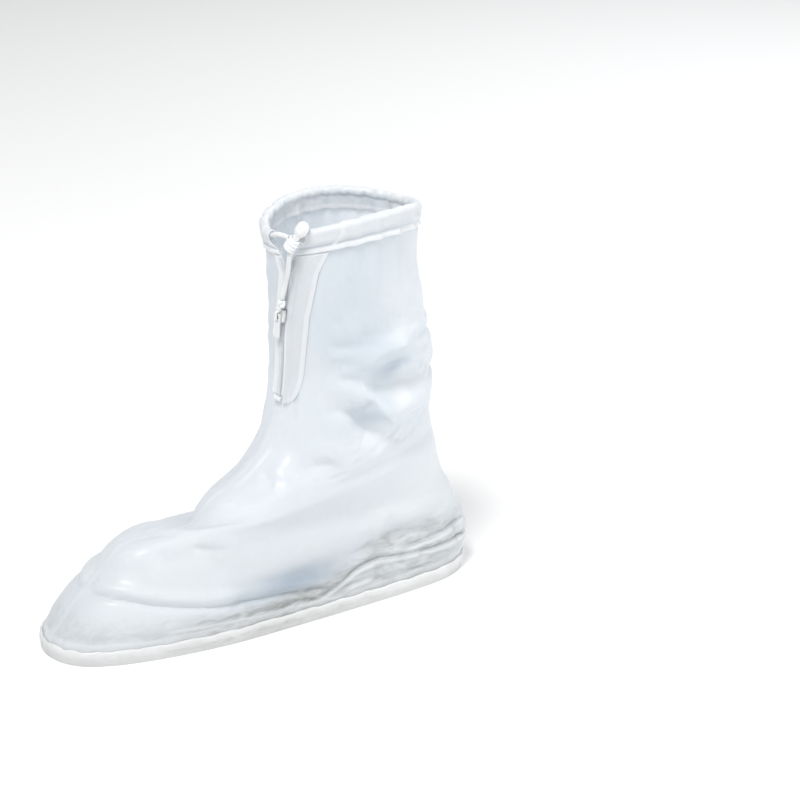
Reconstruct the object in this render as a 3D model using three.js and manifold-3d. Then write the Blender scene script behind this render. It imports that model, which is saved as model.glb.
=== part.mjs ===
// Rain boot cover: a loose over-boot of frosted translucent film, for the right foot.
//
// Frame: millimetres, +Z up, toe towards -Y, the inner (big toe) side towards +X.
// The origin is on the ground under the middle of the sole.
//
// The film is described by a turn and a level. The turn is in degrees around the boot, 0 at the
// toe and front, 180 at the heel and back, positive on the inner side. The level counts the rows
// of SECTIONS from the sole upwards, so level 2.5 lies halfway between rows 2 and 3.

import * as THREE from "three";
import { mergeVertices } from "three/addons/utils/BufferGeometryUtils.js";
import Module from "manifold-3d";

// ---------------------------------------------------------------- driving dimensions

const FILM = 1.2; // wall of the film panels
const HEM_FILM = 1.0; // wall of the folded hem, the gusset and the placket
const GAP = 0.3; // clearance between welded or stacked pieces
const LAYER_GAP = 0.5; // clearance between the film and what is laid along its curve
const SOLE_FLOOR = 2.6; // thickness of the sole under the foot
const SOLE_RIM = 2.0; // wall of the sole's turned-up rim
const SOLE_GAP = 0.45; // clearance between the rim and the film inside it
const CORD_RADIUS = 1.6; // drawstring

const HEM_LEVEL = 16; // lower edge of the hem
const RIM_LEVEL = 17; // top edge of the film inside the hem
const SLIDER_LEVEL = 14; // middle of the zip slider
const ZIP_FOOT_LEVEL = 11.6; // lower end of the zip

const COLUMNS = 28; // film columns on each side, front to back
const FILM_ROWS = 34; // film rows, sole to rim

// The sole's outline, one row for each 18 degrees of turn from the toe tip to the heel: half
// its width, and how far its middle lies to the inner side, both as a share of half the width.
const SOLE_OUTLINE = [
  { half: 0.0, middle: 0.12 },
  { half: 0.44, middle: 0.11 },
  { half: 0.74, middle: 0.06 },
  { half: 0.93, middle: 0.01 },
  { half: 1.0, middle: 0.0 },
  { half: 0.95, middle: 0.0 },
  { half: 0.88, middle: 0.0 },
  { half: 0.8, middle: 0.0 },
  { half: 0.68, middle: 0.0 },
  { half: 0.42, middle: 0.0 },
  { half: 0.0, middle: 0.0 },
];
const OUTLINE_STEP = 180 / (SOLE_OUTLINE.length - 1);

// The closure: the turn of its middle line and half the turn between its two edges. Below the
// bottom of the opening the two edges meet, and further down the line is the toe seam.
const CLOSURE = [
  { level: 9, middle: 0, half: 0 },
  { level: 11.5, middle: 7, half: 0 },
  { level: 14, middle: 9, half: 0 },
  { level: 15.3, middle: 15.5, half: 0 }, // bottom of the opening
  { level: 16, middle: 17, half: 7.5 },
  { level: 17, middle: 16.5, half: 18 }, // rim
];

// Closed sections through the film, from the sole to the rim. A section runs from a front point
// to a back point. sole is 1 where it has the sole's outline and 0 where it is an oval, arch
// lifts its sides, roll lifts the inner side against the outer one, and shift moves it inwards.
const SECTION_KEYS = ["frontY", "frontZ", "backY", "backZ", "half", "sole", "arch", "roll", "shift"];
const SECTIONS = [
  [-166.5, 3, 164.5, 3, 53.7, 1.0, 0, 0, 0], // 0 lower edge, inside the sole's rim
  [-166.5, 12, 167.0, 12, 54.5, 1.0, 0, 0, 0], // 1 top of the sole's rim
  [-156.5, 25, 168.5, 27, 55.5, 1.0, 0, 0, 0], // 2 widest, over the shoe's own sole
  [-144.5, 38.5, 164, 44, 51.5, 0.95, -1, 0, 1], // 3 crease over the shoe's welt
  [-127.5, 55, 156, 59, 46.0, 0.85, -4, 1, 3],
  [-113.5, 69.5, 147, 75, 39.5, 0.7, -7, 3, 6], // 5 front of the baggy toe box
  [-88, 73.5, 141, 89, 36.5, 0.5, -8, 5, 9],
  [-63, 74.5, 137, 102, 36, 0.35, -5, 6, 11], // 7 dip behind the toe box
  [-43, 89.5, 135, 115, 38.0, 0.2, -7, 4, 8],
  [-17.5, 102, 134, 128, 41.0, 0.1, -5, 2, 5], // 9 instep
  [2, 118.5, 135.5, 143, 45.0, 0.05, -3, 1, 1],
  [11, 140, 136, 160, 48.0, 0.0, -1, 0, 0], // 11 ankle
  [14.5, 165, 133.5, 178, 49.5, 0.0, 0, 0, 0],
  [15, 190, 129, 198, 50.0, 0.0, 1, 0, 0],
  [15, 214, 124.5, 219, 50.0, 0.0, 3, 1, 0], // 14 zip slider
  [14, 237, 120, 243, 50.0, 0.0, 5, 2, 0],
  [12.5, 257, 119, 266, 50.0, 0.0, 7, 4, 0], // 16 lower edge of the hem
  [11.5, 265.5, 119, 274.5, 50.0, 0.0, 9, 5, 0], // 17 rim
].map((row) => Object.fromEntries(SECTION_KEYS.map((key, k) => [key, row[k]])));

// The main dents and folds. Each is a stretch from one place on the film to another, with a
// depth along the normal (negative is a dent) that fades out over its reach.
const FOLD_KEYS = ["turn0", "level0", "turn1", "level1", "reach", "depth"];
const FOLDS = [
  [84, 11.9, 112, 11.7, 11, -5.0], // pocket at the inner ankle
  [72, 11.0, 86, 10.3, 11, -4.0], // its lower end, towards the instep
  [92, 10.6, 120, 10.7, 11, 4.0], // bulge under the pocket
  [80, 12.7, 104, 12.9, 10, 3.0], // swelling over the pocket
  [50, 9.3, 64, 9.2, 9, -2.5], // short fold across the instep
  [120, 3.3, 152, 2.6, 9, -3.5], // heel fold on the inner side
  [72, 2.5, 112, 2.9, 13, -3.5], // hollow under the arch of the foot
  [-30, 5.6, 10, 6.3, 14, 2.5], // hump on the toe box
  [36, 4.7, 52, 4.9, 9, -2.2], // dent beside the toe box
  [-84, 11.6, -120, 11.9, 12, -4.5], // pocket at the outer ankle
  [-76, 10.4, -112, 10.5, 11, 3.5], // bulge under it
  [-56, 9.4, -78, 8.8, 10, -2.5], // outer instep fold
  [-118, 3.3, -150, 2.7, 9, -3.0], // heel fold on the outer side
  [-60, 2.6, -84, 2.5, 10, -2.0], // dent behind the little toe
  [150, 11.2, -150, 11.4, 10, -3.0], // fold over the heel tendon
].map((row) => Object.fromEntries(FOLD_KEYS.map((key, k) => [key, row[k]])));

// Cord routes outside the hem, in millimetres. The drawstring leaves the cord lock's back for the
// hem's inner end, and comes back from the hem's outer end across the opening to the lock's side.
// The tail hangs free from the lock's lower end over the closure, down to its knot.
const ROUTE_TO_INNER_END = [
  [26.2, 17.1, 270.1],
  [25.9, 19.0, 271.7],
  [26.3, 20.5, 273.8],
];
const ROUTE_FROM_OUTER_END = [
  [2.4, 10.6, 270.2],
  [7.0, 9.6, 272.0],
  [12.0, 9.6, 273.1],
  [16.8, 10.6, 273.3],
  [20.8, 11.8, 272.7],
];
const TAIL_ROUTE = [
  [25.5, 10.4, 264.1],
  [25.0, 9.8, 261.6],
  [24.2, 9.8, 257.6],
  [22.8, 10.3, 252.4],
  [21.0, 10.8, 247.4],
  [18.8, 11.0, 242.2],
  [17.1, 11.0, 237.0],
  [15.5, 10.8, 232.0],
  [14.1, 10.5, 227.9],
];
const KNOT_PLACE = [13.7, 10.2, 220.7];
const LOCK_PLACE = [24.2, 8.8, 265.8];
const LOCK_AXIS = [0.38, 0.38, 0.84];

// ---------------------------------------------------------------- film surface

const clamp = THREE.MathUtils.clamp;
const lerp = THREE.MathUtils.lerp;
const vec = (x, y, z) => new THREE.Vector3(x, y, z);

/** The value of a table's column between its rows, on a smooth curve through them. */
function tableValue(table, key, position) {
  const last = table.length - 1;
  const row = Math.min(Math.floor(clamp(position, 0, last)), last - 1);
  const t = clamp(position, 0, last) - row;
  const b = table[row][key];
  const c = table[row + 1][key];
  const a = row > 0 ? table[row - 1][key] : 2 * b - c;
  const d = row + 2 <= last ? table[row + 2][key] : 2 * c - b;
  const slope = (c - a) / 2;
  const nextSlope = (d - b) / 2;
  const bend = 3 * (c - b) - 2 * slope - nextSlope;
  const twist = 2 * (b - c) + slope + nextSlope;
  return b + t * (slope + t * (bend + t * twist));
}

/** The smooth film, before dents and folds. */
function basePoint(turn, level) {
  const wrapped = THREE.MathUtils.euclideanModulo(turn + 180, 360) - 180;
  const side = wrapped < 0 ? -1 : 1;
  const angle = Math.abs(wrapped);
  const value = (key) => tableValue(SECTIONS, key, level);
  const along = -Math.cos(THREE.MathUtils.degToRad(angle));
  const oval = side * Math.sin(THREE.MathUtils.degToRad(angle));
  const place = angle / OUTLINE_STEP;
  const outline =
    tableValue(SOLE_OUTLINE, "middle", place) + side * tableValue(SOLE_OUTLINE, "half", place);
  const across = lerp(oval, outline, value("sole"));
  const middleY = (value("frontY") + value("backY")) / 2;
  const middleZ = (value("frontZ") + value("backZ")) / 2;
  const lift = value("arch") * (1 - along * along) + value("roll") * across;
  return vec(
    value("half") * across + value("shift"),
    middleY + ((value("backY") - value("frontY")) / 2) * along,
    middleZ + ((value("backZ") - value("frontZ")) / 2) * along + lift,
  );
}

/** Directions on the film: up, towards the rim, and outwards. */
function directions(turn, level) {
  const stepTurn = 0.5;
  const stepLevel = 0.02;
  const across = basePoint(turn + stepTurn, level).sub(basePoint(turn - stepTurn, level));
  const high = basePoint(turn, Math.min(level + stepLevel, RIM_LEVEL));
  const up = high.sub(basePoint(turn, Math.max(level - stepLevel, 0)));
  const outwards = across.cross(up).normalize();
  return { up: up.normalize(), outwards };
}

const foldLines = FOLDS.map((fold) => ({
  ...fold,
  line: new THREE.Line3(
    basePoint(fold.turn0, fold.level0),
    basePoint(fold.turn1, fold.level1),
  ),
}));

/** How far the dents and folds move a place on the film along its normal. */
function foldHeight(place) {
  let height = 0;
  for (const { line, reach, depth } of foldLines) {
    const distance = line.closestPointToPoint(place, true, vec()).distanceTo(place);
    height += depth * Math.exp(-((distance / reach) ** 2));
  }
  return height;
}

/** A point at a distance outwards from the film's outer face, and a distance above it. */
function filmPoint(turn, level, outward = 0, above = 0) {
  const place = basePoint(turn, level);
  const { up, outwards } = directions(turn, level);
  const height = outward + foldHeight(place);
  return place.addScaledVector(outwards, height).addScaledVector(up, above);
}

/** A value of the closure at a level: its middle or half, as a turn. */
function closureValue(key, level) {
  const next = CLOSURE.findIndex((row) => row.level > level);
  if (next === 0) return CLOSURE[0][key];
  if (next < 0) return CLOSURE.at(-1)[key];
  const [low, high] = [CLOSURE[next - 1], CLOSURE[next]];
  return lerp(low[key], high[key], (level - low.level) / (high.level - low.level));
}

/** The arc of one degree of turn at a place on the film, in millimetres. */
function degreeLength(turn, level) {
  return basePoint(turn + 0.5, level).distanceTo(basePoint(turn - 0.5, level));
}

/** The turn that lies some millimetres outside the closure's edge, on one side (1 or -1). */
function turnBesideClosure(side, level, distance) {
  const edge = closureValue("middle", level) + side * closureValue("half", level);
  return edge + (side * (distance + GAP / 2)) / degreeLength(edge, level);
}

/** The turn of a film column, on one side: share 0 is its front edge and 1 the back seam. */
function columnTurn(side, share, level) {
  const back = side * (180 - GAP / 2 / degreeLength(180, level));
  return lerp(turnBesideClosure(side, level, 0), back, share);
}

// ---------------------------------------------------------------- solids

/** A closed mesh from quads and triangles, with its faces pointing out. */
function solid(points, faces) {
  const triangles = faces.flatMap((f) => (f.length === 4 ? [f[0], f[1], f[2], f[0], f[2], f[3]] : f));
  let volume = 0;
  for (let k = 0; k < triangles.length; k += 3) {
    const [a, b, c] = [0, 1, 2].map((n) => points[triangles[k + n]]);
    volume += a.dot(b.clone().cross(c));
  }
  if (volume < 0) triangles.reverse();
  const geometry = new THREE.BufferGeometry();
  geometry.setAttribute(
    "position",
    new THREE.Float32BufferAttribute(points.flatMap((p) => p.toArray()), 3),
  );
  geometry.setIndex(triangles);
  return geometry;
}

/**
 * A wall: stations along it, each with the same number of points across on its two faces.
 * faceA(s, k) and faceB(s, k) give those points. A wall that closes joins its last station to
 * its first, and has no ends.
 */
function wall(stations, width, faceA, faceB, closes = false) {
  const points = [];
  for (let s = 0; s < stations; s += 1) {
    for (let k = 0; k < width; k += 1) points.push(faceA(s, k), faceB(s, k));
  }
  const at = (s, k, face) => 2 * ((s % stations) * width + k) + face;
  const faces = [];
  const spans = closes ? stations : stations - 1;
  for (let s = 0; s < spans; s += 1) {
    for (let k = 0; k < width - 1; k += 1) {
      faces.push([at(s, k, 0), at(s + 1, k, 0), at(s + 1, k + 1, 0), at(s, k + 1, 0)]);
      faces.push([at(s, k, 1), at(s, k + 1, 1), at(s + 1, k + 1, 1), at(s + 1, k, 1)]);
    }
    const k = width - 1;
    faces.push([at(s, 0, 0), at(s, 0, 1), at(s + 1, 0, 1), at(s + 1, 0, 0)]);
    faces.push([at(s, k, 0), at(s + 1, k, 0), at(s + 1, k, 1), at(s, k, 1)]);
  }
  if (!closes) {
    const s = stations - 1;
    for (let k = 0; k < width - 1; k += 1) {
      faces.push([at(0, k, 0), at(0, k + 1, 0), at(0, k + 1, 1), at(0, k, 1)]);
      faces.push([at(s, k, 0), at(s, k, 1), at(s, k + 1, 1), at(s, k + 1, 0)]);
    }
  }
  return solid(points, faces);
}

/** A solid through a list of closed rings, capped by flat fans at its two ends. */
function ringStack(rings) {
  const size = rings[0].length;
  const points = rings.flat();
  const faces = [];
  for (let r = 0; r < rings.length - 1; r += 1) {
    for (let k = 0; k < size; k += 1) {
      const next = (k + 1) % size;
      faces.push([r * size + k, r * size + next, (r + 1) * size + next, (r + 1) * size + k]);
    }
  }
  for (const [first, flip] of [[0, true], [(rings.length - 1) * size, false]]) {
    const middle = points.length;
    const ring = points.slice(first, first + size);
    points.push(ring.reduce((sum, p) => sum.add(p), vec()).divideScalar(size));
    for (let k = 0; k < size; k += 1) {
      const pair = [first + k, first + ((k + 1) % size)];
      faces.push(flip ? [middle, pair[1], pair[0]] : [middle, ...pair]);
    }
  }
  return solid(points, faces);
}

/** A bar with one profile, placed point by point: place(s, [across, outward]) for a station. */
function profileBar(stations, profile, place) {
  const shape = profile.map(([x, y]) => new THREE.Vector2(x, y));
  const size = profile.length;
  const points = [];
  for (let s = 0; s < stations; s += 1) points.push(...profile.map((corner) => place(s, corner)));
  const faces = [];
  for (let s = 0; s < stations - 1; s += 1) {
    for (let k = 0; k < size; k += 1) {
      const next = (k + 1) % size;
      faces.push([s * size + k, s * size + next, (s + 1) * size + next, (s + 1) * size + k]);
    }
  }
  const end = (stations - 1) * size;
  for (const [a, b, c] of THREE.ShapeUtils.triangulateShape(shape, [])) {
    faces.push([a, c, b], [end + a, end + b, end + c]);
  }
  return solid(points, faces);
}

const routePoints = (route) => route.map((point) => vec(...point));

/** A round tube along a route, given as points. */
function tube(route, radius, sides, steps) {
  const section = new THREE.Shape();
  for (let k = 0; k < sides; k += 1) {
    const angle = (2 * Math.PI * k) / sides;
    const corner = [radius * Math.cos(angle), radius * Math.sin(angle)];
    if (k === 0) section.moveTo(...corner);
    else section.lineTo(...corner);
  }
  const extrudePath = new THREE.CatmullRomCurve3(route, false, "centripetal");
  return new THREE.ExtrudeGeometry(section, { steps, bevelEnabled: false, extrudePath });
}

// ---------------------------------------------------------------- joining solids

const wasm = await Module();
wasm.setup();

/** A manifold solid from a three.js geometry. */
function toManifold(geometry) {
  const bare = geometry.clone();
  bare.deleteAttribute("normal");
  bare.deleteAttribute("uv");
  const merged = mergeVertices(bare, 1e-4);
  return new wasm.Manifold(
    new wasm.Mesh({
      numProp: 3,
      vertProperties: new Float32Array(merged.attributes.position.array),
      triVerts: new Uint32Array(merged.index.array),
    }),
  );
}

/** A three.js geometry from a manifold solid. */
function fromManifold(manifold) {
  const mesh = manifold.getMesh();
  const geometry = new THREE.BufferGeometry();
  geometry.setAttribute("position", new THREE.BufferAttribute(mesh.vertProperties, 3));
  geometry.setIndex(new THREE.BufferAttribute(mesh.triVerts, 1));
  return geometry;
}

const join = (...geometries) =>
  fromManifold(geometries.map(toManifold).reduce((sum, next) => sum.add(next)));

// ---------------------------------------------------------------- pieces

const MATERIALS = {
  film: { color: 0xe3eaf2, roughness: 0.35 },
  doubled_film: { color: 0xeaf0f6, roughness: 0.35 },
  sole: { color: 0xd9dde0, roughness: 0.55 },
  cord: { color: 0xf3f4f5, roughness: 0.8 },
  plastic: { color: 0xf4f5f7, roughness: 0.35 },
  zip_tape: { color: 0xeef1f4, roughness: 0.7 },
};

/** A named mesh with its own material. */
function piece(name, geometry, look) {
  const material = new THREE.MeshStandardMaterial({ metalness: 0, ...MATERIALS[look] });
  const mesh = new THREE.Mesh(geometry, material);
  mesh.name = name;
  return mesh;
}

/** One film panel, from the sole's rim to the rim of the mouth. */
function filmPanel(side) {
  const level = (k) => (RIM_LEVEL * k) / FILM_ROWS;
  const face = (depth) => (s, k) =>
    filmPoint(columnTurn(side, s / COLUMNS, level(k)), level(k), -depth);
  return wall(COLUMNS + 1, FILM_ROWS + 1, face(0), face(FILM));
}

/** The sole: a flat plate whose edge turns up outside the film. */
function soleTray() {
  const outside = SOLE_GAP + SOLE_RIM;
  const ring = (level, outward, height) => {
    const points = [];
    for (let k = 0; k < 2 * COLUMNS; k += 1) {
      const point = filmPoint((180 * k) / COLUMNS, level, outward);
      points.push(height === undefined ? point : point.setZ(height));
    }
    return points;
  };
  return ringStack([
    ring(0, -SOLE_RIM, 0),
    ring(0, outside - 0.5, 0),
    ring(0, outside, 1.2),
    ring(0.5, outside + 0.2),
    ring(1, outside + 0.5),
    ring(1, SOLE_GAP),
    ring(0.5, SOLE_GAP),
    ring(0, SOLE_GAP, SOLE_FLOOR),
    ring(0, -SOLE_RIM, SOLE_FLOOR),
  ]);
}

/** The turn of a hem station: 0 is its outer end, COLUMNS the back seam, twice that its inner end. */
function hemTurn(station, level) {
  if (station === COLUMNS) return 180;
  if (station < COLUMNS) return 360 + columnTurn(-1, station / COLUMNS, level);
  return columnTurn(1, 2 - station / COLUMNS, level);
}

const TUNNEL_RISE = 3.4; // middle of the drawstring tunnel above the film's rim
const TUNNEL_RADIUS = 3.0; // to the middle of its wall
const HEM_STATIONS = 2 * COLUMNS + 1;

/** The hem: one film folded over the rim, with the drawstring tunnel in its fold. */
function hemFold() {
  const middle = -FILM / 2;
  const leg = FILM / 2 + LAYER_GAP + HEM_FILM / 2;
  const legLevels = [HEM_LEVEL, (HEM_LEVEL + RIM_LEVEL) / 2, RIM_LEVEL];
  const path = legLevels.map((level) => ({ level, x: leg, rise: 0, nx: 1, nr: 0 }));
  for (let angle = -50; angle <= 230; angle += 28) {
    const nx = Math.cos(THREE.MathUtils.degToRad(angle));
    const nr = Math.sin(THREE.MathUtils.degToRad(angle));
    const rise = TUNNEL_RISE + TUNNEL_RADIUS * nr;
    path.push({ level: RIM_LEVEL, x: TUNNEL_RADIUS * nx, rise, nx, nr });
  }
  for (const level of [...legLevels].reverse()) path.push({ level, x: -leg, rise: 0, nx: -1, nr: 0 });
  const face = (offset) => (s, k) => {
    const { level, x, rise, nx, nr } = path[k];
    const turn = hemTurn(s, level);
    return filmPoint(turn, level, middle + x + offset * nx, rise + offset * nr);
  };
  return wall(HEM_STATIONS, path.length, face(HEM_FILM / 2), face(-HEM_FILM / 2));
}

/** The drawstring: from the cord lock round through the hem and back to the lock. */
function drawstring() {
  const route = routePoints(ROUTE_TO_INNER_END);
  for (let s = HEM_STATIONS - 1; s >= 0; s -= 1) {
    route.push(filmPoint(hemTurn(s, RIM_LEVEL), RIM_LEVEL, -FILM / 2, TUNNEL_RISE));
  }
  route.push(...routePoints(ROUTE_FROM_OUTER_END));
  return tube(route, CORD_RADIUS, 8, 74);
}

/** The gusset: a film behind the opening, welded to both panels. */
function gusset() {
  const columns = 14;
  const rows = 12;
  const bottom = ZIP_FOOT_LEVEL + 0.5;
  const face = (depth) => (s, k) => {
    const across = (2 * s) / columns - 1;
    const top = lerp(GUSSET_TOP_MIDDLE, GUSSET_TOP_SIDE, Math.abs(across));
    const level = lerp(bottom, top, k / rows);
    const half = lerp(19, 26, k / rows);
    const middle = closureValue("middle", level);
    const turn = middle + (across * half) / degreeLength(middle, level);
    return filmPoint(turn, level, -depth);
  };
  const outer = FILM + LAYER_GAP;
  return wall(columns + 1, rows + 1, face(outer), face(outer + HEM_FILM));
}

const GUSSET_TOP_MIDDLE = 15.45; // level of the gusset's top edge, in the opening
const GUSSET_TOP_SIDE = 15.9; // and where it is welded to the panels
const TAPE = 0.8; // zip tape thickness
const TAPE_WIDTH = 8;
const BEAD_HALF = 2.3; // width of one row of coil
const BEAD_TOP = 2.6;

/** One half of the zip: a tape along the panel's edge with a row of coil on its rim. */
function zipHalf(side) {
  const stations = 22;
  const profile = [
    [0, LAYER_GAP],
    [TAPE_WIDTH, LAYER_GAP],
    [TAPE_WIDTH, LAYER_GAP + TAPE],
    [BEAD_HALF, LAYER_GAP + TAPE],
    [BEAD_HALF, BEAD_TOP],
    [0, BEAD_TOP],
  ];
  return profileBar(stations, profile, (s, [across, outward]) => {
    const level = lerp(ZIP_FOOT_LEVEL, HEM_LEVEL - 0.06, s / (stations - 1));
    return filmPoint(turnBesideClosure(side, level, across), level, outward);
  });
}

/** The placket: a film strip on the inner side, beside the coil and over the zip tape. */
function placket() {
  const rows = 16;
  const edges = (k) => {
    const far = lerp(17, 25, k / rows);
    return [5.2, TAPE_WIDTH + 0.4, TAPE_WIDTH + 1.9, (TAPE_WIDTH + far) / 2 + 1, far];
  };
  const face = (thickness) => (s, k) => {
    const level = lerp(ZIP_FOOT_LEVEL - 0.2, HEM_LEVEL - 0.06, k / rows);
    const turn = turnBesideClosure(1, level, edges(k)[s]);
    const overTape = s < 2 ? TAPE + GAP : 0;
    return filmPoint(turn, level, LAYER_GAP + overTape + thickness);
  };
  return wall(edges(0).length, rows + 1, face(0), face(HEM_FILM));
}

/** Puts a group on the closure: its y runs up the zip and its z outwards. */
function onFilm(group, level) {
  const turn = closureValue("middle", level);
  const { outwards } = directions(turn, level);
  const above = basePoint(closureValue("middle", level + 0.2), level + 0.2);
  const below = basePoint(closureValue("middle", level - 0.2), level - 0.2);
  const across = above.sub(below).cross(outwards).normalize();
  const up = outwards.clone().cross(across);
  group.position.copy(filmPoint(turn, level));
  group.quaternion.setFromRotationMatrix(new THREE.Matrix4().makeBasis(across, up, outwards));
  return group;
}

const SLIDER_LENGTH = 9;
const SLIDER_TOP = 4.4;
const PULL_AXIS = { up: 1.0, out: SLIDER_TOP + 1.2 }; // hinge of the pull on the slider
const PULL_HALF = 3.2;
const PULL_THICKNESS = 1.2;

/** The zip slider: a channel over the coil, with a bridge that holds the pull. */
function zipSlider() {
  const channel = new THREE.Shape();
  channel.moveTo(-4.7, 1.5);
  channel.lineTo(-3.6, 1.5);
  channel.lineTo(-3.6, 2.9);
  channel.lineTo(3.6, 2.9);
  channel.lineTo(3.6, 1.5);
  channel.lineTo(4.7, 1.5);
  channel.lineTo(4.7, 3.6);
  channel.lineTo(3.9, SLIDER_TOP);
  channel.lineTo(-3.9, SLIDER_TOP);
  channel.lineTo(-4.7, 3.6);
  channel.closePath();
  const body = new THREE.ExtrudeGeometry(channel, { depth: SLIDER_LENGTH, bevelEnabled: false });
  body.rotateX(Math.PI / 2);
  body.translate(0, SLIDER_LENGTH / 2, 0);
  const arch = new THREE.Shape();
  const foot = SLIDER_TOP - 0.3;
  arch.moveTo(-3.4, foot);
  arch.lineTo(-3.4, SLIDER_TOP + 2.4);
  arch.lineTo(-2.6, SLIDER_TOP + 3.3);
  arch.lineTo(2.6, SLIDER_TOP + 3.3);
  arch.lineTo(3.4, SLIDER_TOP + 2.4);
  arch.lineTo(3.4, foot);
  arch.lineTo(2.5, foot);
  arch.lineTo(2.5, SLIDER_TOP + 2.4);
  arch.lineTo(-2.5, SLIDER_TOP + 2.4);
  arch.lineTo(-2.5, foot);
  arch.closePath();
  const bridge = new THREE.ExtrudeGeometry(arch, { depth: 2, bevelEnabled: false });
  bridge.translate(0, 0, -1);
  bridge.applyMatrix4(new THREE.Matrix4().makeBasis(vec(0, 1, 0), vec(0, 0, 1), vec(1, 0, 0)));
  return join(body, bridge);
}

/** The zip pull: a flat tab with an eye around the slider's bridge, hanging down. */
function zipPull() {
  const tab = new THREE.Shape();
  const top = PULL_THICKNESS / 2;
  tab.moveTo(-PULL_HALF + 0.6, top);
  tab.lineTo(-PULL_HALF, top - 0.6);
  tab.lineTo(-PULL_HALF + 0.5, -8);
  tab.lineTo(-PULL_HALF, -15);
  tab.absarc(0, -15, PULL_HALF, Math.PI, 2 * Math.PI, false);
  tab.lineTo(PULL_HALF - 0.5, -8);
  tab.lineTo(PULL_HALF, top - 0.6);
  tab.lineTo(PULL_HALF - 0.6, top);
  tab.closePath();
  const eye = new THREE.Path();
  eye.moveTo(-1.6, -top);
  eye.lineTo(1.6, -top);
  eye.lineTo(1.6, -5.5);
  eye.lineTo(-1.6, -5.5);
  eye.closePath();
  tab.holes.push(eye);
  const flat = { depth: PULL_THICKNESS, bevelEnabled: false, curveSegments: 8 };
  const geometry = new THREE.ExtrudeGeometry(tab, flat);
  geometry.translate(0, 0, -PULL_THICKNESS / 2);
  return geometry;
}

/** The lower stop of the zip. */
function zipStop() {
  const stop = new THREE.BoxGeometry(7, 3, 2.4);
  stop.translate(0, -2.2, LAYER_GAP + 1.2);
  return stop;
}

const LOCK_OVAL = 0.85; // depth of the cord lock beside its width
const LOCK_LENGTH = 9.5; // its body
const LOCK_BORE_FLOOR = 3;
const LOCK_TRAVEL = 3.5; // how far its button presses in

/** A turned solid from [radius, height] pairs, flattened to the cord lock's oval. */
function turnedOval(pairs) {
  const profile = pairs.map(([radius, height]) => new THREE.Vector2(radius, height));
  const geometry = new THREE.LatheGeometry(profile, 24);
  geometry.rotateX(Math.PI / 2);
  geometry.scale(1, LOCK_OVAL, 1);
  return geometry;
}

/** The cord lock's body: a ribbed barrel with a bore for the button's stem. */
function lockBody() {
  const profile = [[0, 0], [3.6, 0], [4.7, 0.9], [4.8, 1.7]];
  for (let rib = 0; rib < 2; rib += 1) {
    const foot = 1.7 + 2.5 * rib;
    profile.push([4.2, foot + 0.6], [5.0, foot + 1.2], [5.0, foot + 2.0], [4.3, foot + 2.5]);
  }
  profile.push([4.6, LOCK_LENGTH - 0.6], [4.2, LOCK_LENGTH], [3.1, LOCK_LENGTH]);
  profile.push([3.1, LOCK_BORE_FLOOR], [0, LOCK_BORE_FLOOR]);
  return turnedOval(profile);
}

/** The cord lock's button: a stem in the bore under a rounded paddle. */
function lockButton() {
  const foot = LOCK_BORE_FLOOR + LOCK_TRAVEL + GAP;
  const seat = LOCK_LENGTH + LOCK_TRAVEL + GAP;
  const paddle = [
    [0, foot],
    [2.7, foot],
    [2.7, seat],
    [3.6, seat],
    [4.3, seat + 2],
    [4.9, seat + 5],
    [4.8, seat + 7],
    [3.7, seat + 9],
    [1.9, seat + 10],
    [0, seat + 10.2],
  ];
  return turnedOval(paddle);
}

/** The knot at the end of the tail: three turns of cord pulled tight. */
function tailKnot() {
  const knot = [
    [0, 0],
    [1.6, 0.2],
    [2.9, 1.3],
    [2.5, 2.3],
    [3.2, 3.3],
    [2.6, 4.4],
    [2.9, 5.3],
    [1.7, 6.5],
    [0, 6.7],
  ].map(([radius, height]) => new THREE.Vector2(radius, height));
  const geometry = new THREE.LatheGeometry(knot, 14);
  geometry.rotateX(Math.PI / 2);
  return geometry;
}

// ---------------------------------------------------------------- assembly

const boot = new THREE.Group();
boot.add(piece("sole", soleTray(), "sole"));
boot.add(piece("film_panel_inner", filmPanel(1), "film"));
boot.add(piece("film_panel_outer", filmPanel(-1), "film"));
boot.add(piece("hem", hemFold(), "doubled_film"));
boot.add(piece("gusset", gusset(), "film"));
boot.add(piece("placket", placket(), "doubled_film"));
boot.add(piece("zip_half_inner", zipHalf(1), "zip_tape"));
boot.add(piece("zip_half_outer", zipHalf(-1), "zip_tape"));

const slider = onFilm(new THREE.Group(), SLIDER_LEVEL);
slider.add(piece("zip_slider", zipSlider(), "plastic"));
const pull = piece("zip_pull", zipPull(), "plastic");
pull.position.set(0, PULL_AXIS.up, PULL_AXIS.out);
slider.add(pull);
boot.add(slider);

const stopGroup = onFilm(new THREE.Group(), ZIP_FOOT_LEVEL);
stopGroup.add(piece("zip_stop", zipStop(), "plastic"));
boot.add(stopGroup);

const lock = new THREE.Group();
lock.position.set(...LOCK_PLACE);
lock.quaternion.setFromUnitVectors(vec(0, 0, 1), vec(...LOCK_AXIS).normalize());
lock.add(piece("cord_lock_body", lockBody(), "plastic"));
lock.add(piece("cord_lock_button", lockButton(), "plastic"));
boot.add(lock);

boot.add(piece("drawstring", drawstring(), "cord"));
const tail = tube(routePoints(TAIL_ROUTE), CORD_RADIUS, 8, 9);
boot.add(piece("drawstring_tail", tail, "cord"));
const knot = piece("drawstring_knot", tailKnot(), "cord");
knot.position.set(...KNOT_PLACE);
boot.add(knot);

export default boot;
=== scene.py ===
# Looks of the rain boot cover: a loose over-boot of frosted film with its sole, hem, drawstring,
# cord lock and zip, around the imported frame.
#
# Metres, +Z up, toe towards -Y, the inner (big toe) side towards +X. A place on the film is a turn,
# in degrees around the boot (0 at the toe and front, 180 at the heel, positive on the inner side),
# and a level, which counts the rows of SECTIONS from the sole to the rim, as in the CAD source.

import math

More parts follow.
